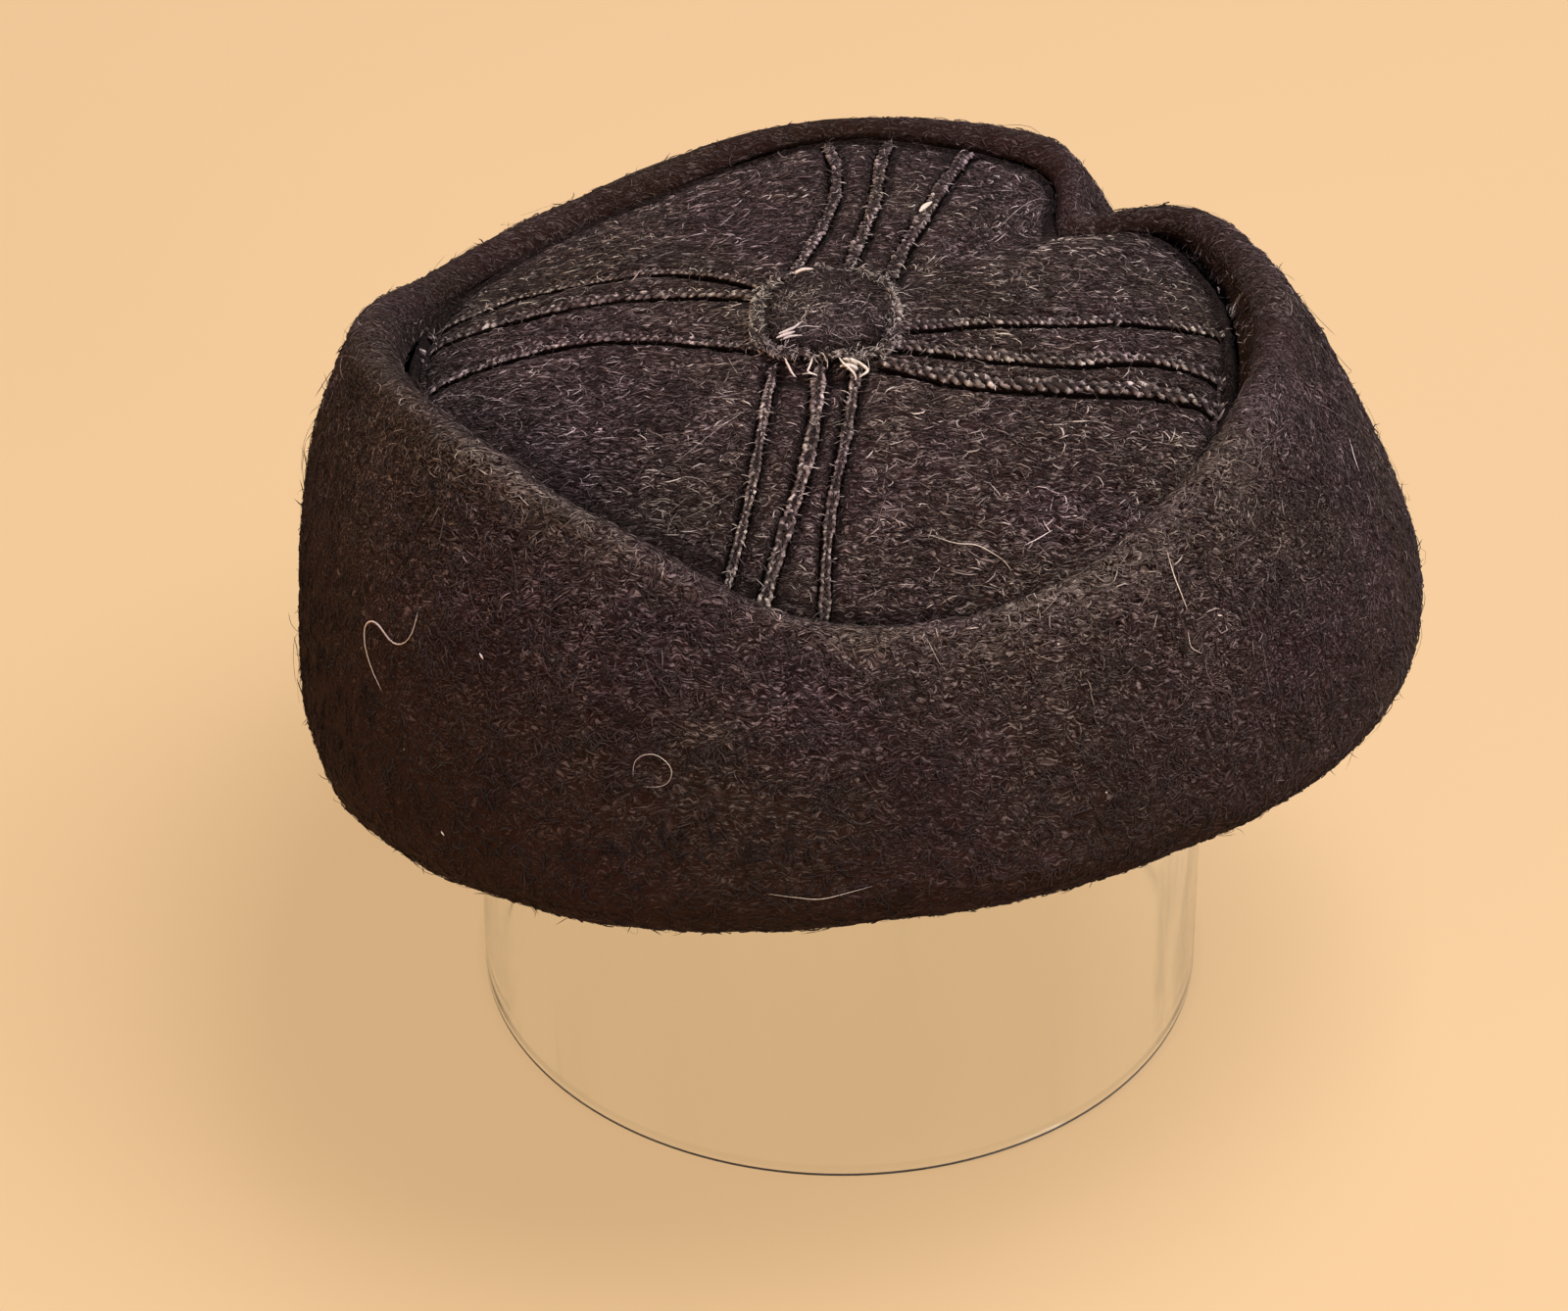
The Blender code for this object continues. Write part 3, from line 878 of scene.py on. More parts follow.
# %% Lines of points become threads
def threads(name, paths, radii, ups, tones, sides, material, per_row=None):
    """Closed threads, pointed at both ends, one along each path.

    tones holds one value per thread, or one per point of each thread.
    """
    n, m = paths.shape[:2]
    tones = np.broadcast_to(tones.reshape(n, -1), (n, m))
    tones = np.concatenate([np.repeat(tones[:, 1:-1], sides, axis=1),
                            tones[:, :1], tones[:, -1:]], axis=1)
    ahead = np.gradient(paths, axis=1)
    side = np.cross(ahead, ups)
    side /= np.linalg.norm(side, axis=2)[..., None] + 1e-12
    up = np.cross(side, ahead)
    up /= np.linalg.norm(up, axis=2)[..., None] + 1e-12
    angle = 2 * math.pi * np.arange(sides) / sides
    ring = (paths[:, 1:-1, None]
            + radii[:, 1:-1, None, None]
            * (np.cos(angle)[:, None] * side[:, 1:-1, None]
               + np.sin(angle)[:, None] * up[:, 1:-1, None]))
    points = np.concatenate([ring.reshape(n, -1, 3), paths[:, :1],
                             paths[:, -1:]], axis=1)
    per = (m - 2) * sides + 2
    s = np.arange(sides)
    nxt = (s + 1) % sides
    i = np.arange(m - 3)[:, None] * sides
    quads = np.stack([i + s, i + sides + s, i + sides + nxt, i + nxt],
                     axis=2).reshape(-1, 4)
    end = (m - 3) * sides
    tris = np.concatenate([
        np.stack([0 * s + per - 2, s, nxt], 1),
        np.stack([0 * s + per - 1, end + nxt, end + s], 1)])
    per_row = per_row or int(math.ceil(math.sqrt(n)))
    rows = int(math.ceil(n / per_row))
    cell = np.stack([(np.arange(n) % per_row) / per_row,
                     (np.arange(n) // per_row) / rows], axis=1)
    size = np.array((CELL_FILL / per_row, CELL_FILL / rows))

    def in_cell(across, *corners):
        """Map corners, each a step across and a step along the thread."""
        return np.stack([np.stack([across + a, 0 * across + b], -1)
                         / (sides, m - 1) for a, b in corners], axis=1)

    k = np.repeat(np.arange(m - 3), sides) + 1.0
    quad_uv = in_cell(np.tile(s, m - 3), (0, k), (0, k + 1), (1, k + 1),
                      (1, k))
    tri_uv = np.concatenate([
        in_cell(s, (0.5, 0), (0, 1), (1, 1)),
        in_cell(s, (0.5, m - 1), (1, m - 2), (0, m - 2))])
    place = cell[:, None, None, :]
    offset = (np.arange(n) * per)[:, None, None]
    return array_mesh(
        name, points.reshape(-1, 3),
        (quads[None] + offset).reshape(-1, 4),
        (tris[None] + offset).reshape(-1, 3),
        quad_uv[None] * size + place, tri_uv[None] * size + place,
        tones.ravel(), material)


# %% [markdown]
# ## Hair material
# Wool hairs aren't one colour. Most are dark brown, many are worn to a pale
# brown at the surface, and a few are nearly white. Each hair carries a tone
# from 0 to 1, and the finish turns it into a colour.

# %% Material for hairs and threads
def thread_material(name, dark, middle, pale, white, gloss=0.10):
    mat, tree, shader = new_material(name)
    tone = tree.nodes.new("ShaderNodeAttribute")
    tone.attribute_name = "tone"
    ramp = add_node(tree, "ValToRGB", Fac=tone.outputs["Fac"])
    stops = ((0.0, dark), (0.45, middle), (0.85, pale), (1.0, white))
    while len(ramp.color_ramp.elements) < len(stops):
        ramp.color_ramp.elements.new(0.5)
    for element, (place, color) in zip(ramp.color_ramp.elements, stops):
        element.position = place
        element.color = (*color, 1.0)
    coords = object_coords(tree)
    color = ramp.outputs["Color"]
    patch = noise_node(tree, coords, 60.0, 3.0, 0.6)
    fine = noise_node(tree, coords, 2600.0, 2.0, 0.5)
    for cloud, low, high, most in ((patch, 0.35, 0.65, 0.5),
                                   (fine, 0.3, 0.7, 0.45)):
        color = blend_colors(tree, spread(tree, cloud, low, high, most, 0.0),
                             color, dark)
    dyed = place_group(tree, faded_dye, Coords=coords, Color=color)
    feed(tree, shader, Base_Color=dyed.outputs["Color"], Roughness=0.9,
         Specular_IOR_Level=gloss, Sheen_Weight=0.5 * gloss)
    relief(tree, shader, fine, 0.05 * MM)
    return mat


hair_finish = thread_material("wool_hair", (0.0070, 0.0034, 0.0030),
                              (0.068, 0.0465, 0.0440), (0.370, 0.318, 0.308),
                              (0.700, 0.660, 0.620))
print("hair finish:", hair_finish.name)

# %% [markdown]
# ## Hairs on the felt
# The hair could be drawn in the finish alone, but then the cap's outline
# would be a clean line, and felt's never is. So 67,000 real hairs lie on the
# surface. Each starts at a random spot, chosen by area, and walks over the
# felt's own grid, so it bends over the rim and dips into the furrows.

# %% Where hairs may start
rng = np.random.default_rng(11)
outward = outward_normals(felt_points)
down_step = np.gradient(felt_points, axis=0)
round_step = 0.5 * (np.roll(felt_points, -1, 1) - np.roll(felt_points, 1, 1))
down_size = np.linalg.norm(down_step, axis=2) + 1e-6
round_size = np.linalg.norm(round_step, axis=2) + 1e-6
patch_area = down_size * round_size
hairy = np.zeros(ROWS)
for zone, amount in (("crown", 1.0), ("crown_edge", 0.8), ("rim", 1.0),
                     ("cuff", 1.0), ("fold", 0.8)):
    hairy[zone_rows[zone]] = amount
hairy[:8] = 0.0
hairy[zone_rows["cuff_inside"][-5:]] = 1.0
hairy[zone_rows["fold"][7:]] = 0.0
between = on_crown * np.exp(-(np.maximum(far_braid, 0.0) / (3.2 * MM)) ** 2)
# Fewer hairs start in the painted shade, so that it stays dark, and fewer on the smooth
# roll, low on the cuff and between the braids.
bare = np.clip(0.85 * shade + 0.75 * smooth_roll + 0.3 * low_cuff
               + 0.45 * between, 0.0, 0.9)
start_odds = (patch_area * hairy[:, None] * (1.0 - bare)).ravel()
start_odds /= start_odds.sum()
print("hair starts in %d of %d cells"
      % ((start_odds > 0).sum(), len(start_odds)))


# %% Walk over the surface
def on_surface(row, column):
    """Point and normal at fractional rows and columns of the grid."""
    row = np.clip(row, 0.0, ROWS - 1.001)
    i = np.floor(row).astype(int)
    j = np.floor(column).astype(int)
    fi, fj = (row - i)[:, None], (column - j)[:, None]
    j = j % AROUND
    k = (j + 1) % AROUND
    out = []
    for grid in (felt_points, outward):
        a = grid[i, j] * (1 - fj) + grid[i, k] * fj
        b = grid[i + 1, j] * (1 - fj) + grid[i + 1, k] * fj
        out.append(a * (1 - fi) + b * fi)
    return out


def hair_paths(count, stops, longest, shortest, rise, stray):
    """Lines of hairs: count x stops points, and the normals along them."""
    cell = rng.choice(len(start_odds), size=count, p=start_odds)
    i, j = cell // AROUND, cell % AROUND
    row, column = i + rng.random(count), j + rng.random(count)
    start = felt_points[i, j]
    swirl = smooth_noise(start[:, None], 11 * MM, 31)[:, 0] * 2.2 * math.pi
    heading = swirl + rng.normal(0.0, 0.65, count)
    lengthwise = np.arctan2(round_step[i, j, 0] / round_size[i, j],
                            down_step[i, j, 0] / down_size[i, j])
    combed = (on_crown[i, 0] > 0) & (rng.random(count) < 0.7)
    heading = np.where(combed, lengthwise + 0.5 * rng.normal(size=count),
                       heading)
    stroked = rng.random(count) < 0.8 * np.clip(2.0 * wear_and_highlight[i, j], 0, 1)
    heading = np.where(stroked, 0.5 * math.pi + 0.45 * rng.normal(size=count),
                       heading)
    curl = rng.normal(0.0, 1.5 / (stops - 1), count)
    length = (shortest + (longest - shortest) * rng.random(count) ** 1.5) * MM
    path, up, cells = [], [], []
    for n in range(stops):
        p, nrm = on_surface(row, column)
        path.append(p)
        up.append(nrm)
        a = np.clip(row, 0, ROWS - 1).astype(int)
        b = np.floor(column).astype(int) % AROUND
        cells.append((a, b))
        row = row + np.cos(heading) * length / (stops - 1) / down_size[a, b]
        column = (column + np.sin(heading) * length / (stops - 1)
                  / round_size[a, b])
        heading = heading + curl
    path, up = np.stack(path, 1), np.stack(up, 1)
    t = steps(stops)[None]
    height = rise * MM * rng.random(count)[:, None] * (1 - (2 * t - 1) ** 2)
    height = height + 0.03 * MM
    loose = rng.random(count) < stray
    flick = (0.6 + 2.0 * rng.random(count) ** 2) * MM
    height = height + np.where(loose, flick, 0.0)[:, None] * t ** 2
    cells = np.array(cells).transpose(1, 2, 0)
    return path + up * height[..., None], up, tuple(cells)


# %% Plant the hairs
HAIRS = (
    # name, count, stops, longest and shortest (mm), rise, strays, thickness
    ("felt_hair_fine_a", 28000, 3, 3.4, 1.6, 0.30, 0.01, 0.120),
    ("felt_hair_fine_b", 7000, 3, 3.4, 1.6, 0.30, 0.01, 0.120),
    ("felt_hair_bent_a", 14500, 4, 5.5, 2.6, 0.40, 0.03, 0.125),
    ("felt_hair_bent_b", 14500, 4, 5.5, 2.6, 0.40, 0.03, 0.125),
    ("felt_hair_long", 2200, 5, 10.0, 5.0, 0.60, 0.25, 0.065),
    ("felt_hair_wild", 420, 8, 24.0, 9.0, 1.50, 1.00, 0.045),
)
WHITE_SHARE = 0.008
EVEN_TONES = ((0.29, 0.45, on_cuff * np.ones(AROUND)), (0.11, 0.90, low_cuff))
BEHIND = on_crown * np.ones(AROUND)
for name, count, stops, longest, shortest, rise, stray, thick in HAIRS:
    path, up, cell = hair_paths(count, stops, longest, shortest, rise, stray)
    width = thick * (0.5 + 1.0 * rng.random(count) ** 1.5)[:, None] * MM
    radii = width * np.ones((1, stops))
    tuft = smooth_noise(path[:, :1], 1.3 * MM, 41)[:, 0]
    patch = smooth_noise(path[:, :1], 4.5 * MM, 42)[:, 0]
    tone = 1.02 * rng.beta(0.80, 1.60, count) + 0.85 * tuft + 0.35 * patch
    tone = np.where(rng.random(count) < WHITE_SHARE, 1.0, tone)[:, None]
    for aim, pull, where in EVEN_TONES:
        tone = tone + (aim - tone) * pull * where[cell]
    # Hair tones carry the same painted light as the felt: painted shade toward the crown's
    # back, on the cuff's front and in the shaded places, and the pale rim's wear and
    # painted highlight.
    tone = tone - 0.08 * BEHIND[cell] * np.clip(
        path[..., 1] / (30.0 * MM), 0.0, 1.0)
    tone = tone + 0.55 * wear_and_highlight[cell] - 0.10 * between[cell]
    tone = tone - 0.12 * dim_front[cell]
    tone = np.clip(tone - 1.2 * shade[cell], 0.0, 0.95)
    hairs = threads(name, path, radii, up, tone, 3, hair_finish)
    dress(hairs)
    print(name, count, "hairs,", len(hairs.data.polygons), "faces")

# %% [markdown]
# ## Braids
# Each braid is three thin yarns worked over and under each other. A flat
# plait has a simple law: every yarn swings from side to side once per repeat
# and rises and falls twice, a third of a repeat after its neighbour. The
# braid's line is laid on the felt as it now is, dents included.

# %% Finishes of the yarns
braid_finish = thread_material("braid_yarn", (0.008, 0.0045, 0.0040),
                               (0.072, 0.0520, 0.0500), (0.320, 0.275, 0.265),
                               (0.700, 0.660, 0.620))
# A near-black finish without sheen for the painted shadow lines beside the braids.
braid_shadow_finish = thread_material("braid_shadow_paint", (0.0016, 0.0007, 0.0006),
                                (0.004, 0.0020, 0.0018), (0.02, 0.012, 0.010),
                                (0.04, 0.030, 0.028), 0.01)
lint_finish = thread_material("white_lint", (0.12, 0.10, 0.09),
                              (0.40, 0.36, 0.32), (0.74, 0.70, 0.64),
                              (0.86, 0.83, 0.78), 0.05)


# %% Plait three yarns along a line
def on_crown_skin(plan):
    """Points of the dented crown over plan points, and the normals."""
    dx, dy = plan[:, 0] - CAP_X, plan[:, 1] - CAP_Y
    angle = np.degrees(np.arctan2(dy, dx)) % 360.0
    r = np.hypot(dx, dy)
    last_r = crown_edge(angle)[0] - CROWN_ROUND
    row = r / last_r * CROWN_ROWS - 1.0
    return on_surface(row, angle / 360.0 * AROUND)


def evenly(line, gap):
    """The line again, with points an even gap apart."""
    run = np.linalg.norm(np.diff(line, axis=0), axis=1)
    at = np.concatenate([[0.0], np.cumsum(run)])
    count = max(int(at[-1] / gap), 8)
    where = steps(count, 0.0, at[-1])
    return np.stack([np.interp(where, at, line[:, k])
                     for k in range(line.shape[1])], 1), where


def plait(line, ups, where, half, repeat, lift):
    """Three yarn lines that plait along a line."""
    ahead = np.gradient(line, axis=0)
    side = np.cross(ahead, ups)
    side /= np.linalg.norm(side, axis=1)[:, None]
    yarn = 0.33 * half
    paths, tones = [], []
    for k in range(3):
        phase = 2 * math.pi * (where / repeat + k / 3.0)
        swing = (half - yarn) * np.sin(phase)
        rise = yarn * 0.6 * np.sin(2 * phase) + lift
        paths.append(line + side * swing[:, None] + ups * rise[:, None])
        tones.append(0.76 * np.abs(np.sin(phase)) ** 2.5 - 0.02)
    return np.stack(paths), yarn, np.stack(tones)


def fleck(tones, share):
    """Worn yarns: their tones, made uneven, with a few white flecks."""
    uneven = 1.1 * tones + 0.20 * rng.normal(size=tones.shape)
    white = rng.random(tones.shape) < share
    return np.clip(np.where(white, 0.95, uneven), 0.0, 1.0)


# %% Braids and the painted shadow lines beside them
SHADOW_LINE_SUNK = 0.15 * MM
SHADOW_LINE_POINTS = 90
fuzz_points, fuzz_ups, fuzz_ahead, fuzz_across = [], [], [], []
edge_lines, edge_ups, edge_radii = [], [], []


for number, row in enumerate(BRAIDS):
    name, half = row[0], row[2] * MM
    line, where = evenly(courses[name], 0.48 * MM)
    skin, ups = on_crown_skin(line)
    wobble = 0.25 * MM * np.sin(where / (7.0 * MM) + number)
    flat_side = np.cross(np.gradient(skin, axis=0), ups)
    flat_side /= np.linalg.norm(flat_side, axis=1)[:, None]
    skin = skin + flat_side * wobble[:, None]
    uneven = half * (1.0 + 0.16 * np.sin(where / (3.1 * MM) + 1.7 * number)
                     + 0.12 * np.sin(where / (1.3 * MM) + 0.6 * number))
    paths, yarn, tones = plait(skin, ups, where, uneven, 4.2 * half,
                               0.2 * half)
    paths = paths + 0.07 * half * rng.normal(size=paths.shape)
    radii = yarn * (0.75 + 0.6 * rng.random(tones.shape))
    braid = threads("braid_" + name[5:], paths, radii,
                    np.tile(ups, (3, 1, 1)), fleck(tones, 0.08), 5,
                    braid_finish, 3)
    fuzz_points.append((paths + ups * yarn[:, None]).reshape(-1, 3))
    fuzz_ups.append(np.tile(ups, (3, 1)))
    fuzz_ahead.append(np.tile(np.gradient(skin, axis=0), (3, 1)))
    fuzz_across.append(np.tile(flat_side, (3, 1)))
    # Beside each braid lies a near-black thread: painted shadow along its edges, thicker
    # on the front side, which faces away from the light.
    for way in (-1.0, 1.0):
        front = np.clip(-flat_side[:, 1] * way, 0.0, 1.0).mean()
        thick = (0.30 + 0.20 * front) * MM
        offset = half + 0.5 * thick
        edge = (skin + flat_side * way * offset - ups * SHADOW_LINE_SUNK)
        edge_lines.append(softened(edge, SHADOW_LINE_POINTS))
        edge_ups.append(softened(ups, SHADOW_LINE_POINTS))
        edge_radii.append(thick * (0.7 + 0.6 * rng.random(SHADOW_LINE_POINTS)))
    dress(braid, name)
shadow_lines = threads("braid_shadow_lines", np.stack(edge_lines),
                   np.stack(edge_radii), np.stack(edge_ups),
                   np.full((len(edge_lines), 1), 0.0), 4, braid_shadow_finish)
dress(shadow_lines)
print("braids:", len(BRAIDS))

# %% [markdown]
# ## Frayed ends
# Old wool braid frays. Short pale threads stick out of it at all angles, a
# fine fuzz lies along it, and stitches of the sewing thread cross it here and
# there. All three are scattered by one function, along the braids' own yarns.

# %% Frays along the braids
def frays(name, anchors, ups, count, longest, pale, thick=0.10, high=1.2,
          stops=6, ahead=None):
    """Short curved threads that start at the anchors."""
    pick = rng.integers(0, len(anchors), count)
    start, up = anchors[pick], ups[pick]
    guide = rng.normal(size=(count, 3))
    if ahead is not None:
        run = ahead[pick] / np.linalg.norm(ahead[pick], axis=1)[:, None]
        guide = 0.5 * guide + run * rng.choice((-1.0, 1.0), count)[:, None]
    flat = guide - (guide * up).sum(1)[:, None] * up
    flat /= np.linalg.norm(flat, axis=1)[:, None]
    cross = np.cross(up, flat)
    length = (0.35 + 0.65 * rng.random(count)) * longest * MM
    bend = rng.normal(0.0, 0.35, count)
    crest = high * rng.random(count) ** 1.5 * MM
    path = []
    for t in steps(stops):
        path.append(start + flat * (length * t)[:, None]
                    + cross * (length * bend * t ** 2)[:, None]
                    + up * (crest * math.sin(math.pi * min(t * 1.1, 1.0))
                            + (0.25 * MM if ahead is None else 0.0))[:, None])
    path = np.stack(path, 1)
    radii = (thick * (0.6 + 0.7 * rng.random(count)))[:, None] * MM
    tone = np.where(rng.random(count) < pale, 0.93 + 0.07 * rng.random(count),
                    0.65 * rng.random(count) ** 1.3)
    piece = threads(name, path, radii * np.ones((1, stops)),
                    np.repeat(up[:, None], stops, 1), tone, 3, braid_finish)
    dress(piece)


anchor_line = np.concatenate([evenly(courses[r[0]], 0.8 * MM)[0]
                              for r in BRAIDS])
anchor_points, anchor_ups = on_crown_skin(anchor_line)
frays("braid_frays", anchor_points, anchor_ups, 900, 3.6, 0.10)
yarn_skin, yarn_ups = np.concatenate(fuzz_points), np.concatenate(fuzz_ups)
frays("braid_fuzz", yarn_skin, yarn_ups, 3000, 2.2, 0.10, 0.060, 0.3, 4,
      np.concatenate(fuzz_ahead))
frays("braid_stitches", yarn_skin, yarn_ups, 420, 2.6, 0.55, 0.10, 0.2, 4,
      np.concatenate(fuzz_across))
print("places a fray can start from:", len(anchor_points), len(yarn_skin))

# %% [markdown]
# ## The disc and its ring
# A small rounded square of the same felt covers the place where the arms
# meet. It is a soft pad, a little domed, pulled down at its edge by the cord
# that is sewn round it. It could be an inflated disc, but rows of points on
# shrinking outlines give control of the edge.

# %% Disc
DISC_HALF_X, DISC_HALF_Y = 12.4 * MM, 15.6 * MM
DISC_BACK = 0.13
DISC_CORNER = 0.15
RING_HALF = 1.7 * MM
DISC_TURNS = 160


def disc_line(part, grow, turns=DISC_TURNS):
    a = 2 * math.pi * np.arange(turns) / turns
    full = 1.0 + DISC_CORNER * np.sin(2 * a) ** 2
    half_y = DISC_HALF_Y * part * (1.0 + DISC_BACK * np.sin(a))
    return np.stack([DISC_X + (DISC_HALF_X * part + grow) * full * np.cos(a),
                     DISC_Y + (half_y + grow) * full * np.sin(a)],
                    axis=1)


PAD_STEPS = steps(26, 0.88, 0.04)
disc_rows = np.stack([disc_line(part, -0.9 * MM * part)
                      for part in (1.0, 1.01, 0.99, 0.96, 0.92, *PAD_STEPS)])
skin, ups = on_crown_skin(disc_rows.reshape(-1, 2))
edge = np.concatenate([[0.0, 0.5, 1.0, 1.3, 1.55],
                       1.7 + 0.7 * (1 - PAD_STEPS ** 2)])


def front_lift(points):
    """The disc's front edge stands a little proud of the crown."""
    ahead = (DISC_Y - points[..., 1]) / DISC_HALF_Y
    return 1.5 * MM * np.clip(ahead, 0.0, 1.2) ** 2


pad = skin.reshape(disc_rows.shape[0], DISC_TURNS, 3).copy()
pad[..., 2] += edge[:, None] * MM
pad[1:, :, 2] += front_lift(pad[1:])
pad_noise = (smooth_noise(pad, 8 * MM, 21) * 0.45
             + smooth_noise(pad, 3 * MM, 22) * 0.22) * MM
pad_noise[0] = 0.0
pad[..., 2] += pad_noise
pad = pad[::-1]
pad_points = np.vstack([pad.reshape(-1, 3), pad[0].mean(0)[None]])
centre = len(pad_points) - 1
j = np.arange(DISC_TURNS)
pad_faces = ([*grid_faces(len(pad), DISC_TURNS)]
             + [(centre, a, (a + 1) % DISC_TURNS) for a in j])
disc_patch = link_mesh("disc_patch", pad_points, pad_faces, disc_finish)
pad_v = np.arange(1, len(pad) + 1) / (len(pad) + 1)
set_map(disc_patch, grid_map(DISC_TURNS, pad_v),
        fan_map(DISC_TURNS, 0.0, pad_v[0]))
pad_part = np.linspace(0.0, 1.0, len(pad))[:, None] * np.ones(DISC_TURNS)
# The pad is darker all over, and its back edge carries painted shade in the gap under the
# ring.
pad_shade = 0.75 + (np.clip((pad_part - 0.86) / 0.08, 0.0, 1.0) * 0.25
                    * np.clip(np.sin(2 * math.pi * j / DISC_TURNS), 0, 1))
set_marks(disc_patch, 0 * pad_shade, pad_shade, 0 * pad_shade)
dress(disc_patch, "center_disc")
print("disc pad:", len(disc_patch.data.polygons), "faces")

# %% Ring cord
RING_POINTS = 400
ring_turn = 2 * math.pi * np.arange(RING_POINTS) / RING_POINTS
ring_half = RING_HALF * (0.80 + 0.25 * np.cos(2 * ring_turn)
                         - 0.20 * np.clip(np.sin(ring_turn), 0, 1))
ring_plan = np.hstack([disc_line(1.0, 0.2 * MM + ring_half, RING_POINTS),
                       ring_half[:, None]])
ring_plan = np.vstack([ring_plan, ring_plan[:12]])
ring_plan, where = evenly(ring_plan, 0.40 * MM)
ring_plan, ring_half = ring_plan[:, :2], ring_plan[:, 2]
skin, ups = on_crown_skin(ring_plan)
skin[:, 2] += front_lift(skin)
paths, yarn, tones = plait(skin, ups, where, ring_half, 4.8 * MM, 0.7 * MM)
paths = paths + 0.25 * MM * rng.normal(size=paths.shape)
radii = yarn * (1.0 + 0.22 * np.sin(where / (1.9 * MM))
                + 0.15 * np.sin(where / (4.3 * MM))) * (
                    0.7 + 0.6 * rng.random(tones.shape))
ring = threads("disc_cord", paths, radii, np.tile(ups, (3, 1, 1)),
               fleck(tones, 0.16), 6, braid_finish, 3)
dress(ring, "disc_ring")
print("ring:", len(ring.data.polygons), "faces")
frays("disc_frays", skin + ups * 0.6 * MM, ups, 620, 4.2, 0.38, 0.10, 1.4)
frays("disc_fuzz", (paths + ups * yarn[:, None]).reshape(-1, 3),
      np.tile(ups, (3, 1)), 900, 2.8, 0.45, 0.09, 0.4, 4,
      np.tile(np.gradient(skin, axis=0), (3, 1)))

# %% Hair on the disc
UP = np.array((0, 0, 1.0))
count = 2500
spot = rng.random(count) ** 0.5
turn = rng.random(count) * 2 * math.pi
near = np.stack([DISC_X + DISC_HALF_X * 0.95 * spot * np.cos(turn),
                 DISC_Y + DISC_HALF_Y * 0.95 * spot * np.sin(turn)
                 * (1.0 + DISC_BACK * np.sin(turn))], 1)
heading = rng.random(count) * 2 * math.pi
curl = rng.normal(0.0, 0.35, count)
length = (1.8 + 3.2 * rng.random(count)) * MM
path = []
for t in steps(4):
    plan = near + (np.stack([np.cos(heading), np.sin(heading)], 1)
                   * (length / 3.0 * (t > 0))[:, None])
    near = plan
    heading = heading + curl
    skin, ups = on_crown_skin(plan)
    inside = np.clip(np.hypot((plan[:, 0] - DISC_X) / DISC_HALF_X,
                              (plan[:, 1] - DISC_Y) / DISC_HALF_Y), 0, 1)
    height = 1.75 + 0.7 * (1 - inside ** 2) + 0.35 * math.sin(math.pi * t)
    path.append(skin + UP * (height * MM + front_lift(skin))[:, None])
tone = np.where(rng.random(count) < 0.02, 1.0, rng.beta(0.50, 1.45, count))
# Hairs near the pad's edge are darker: painted shade under the ring.
tone = tone * (1.0 - 0.5 * spot ** 12)
hairs = threads("disc_hair", np.stack(path, 1), np.full((count, 4), 0.10 * MM),
                np.tile(UP, (count, 4, 1)), tone, 3, hair_finish)
dress(hairs)
print("disc, ring and frays made")

# %% [markdown]
# ## Loose threads
# Things have settled on the cap: one pale curled thread on the left of the cuff, shorter
# ones on the right and on the crown, tufts of white wool at the ring, and specks of lint.
# They are few, so each is listed one by one. On the cuff a place is an angle and a height,
# from 0 at the fold to 1 at the rim. On the crown it is millimetres from the cap's middle.

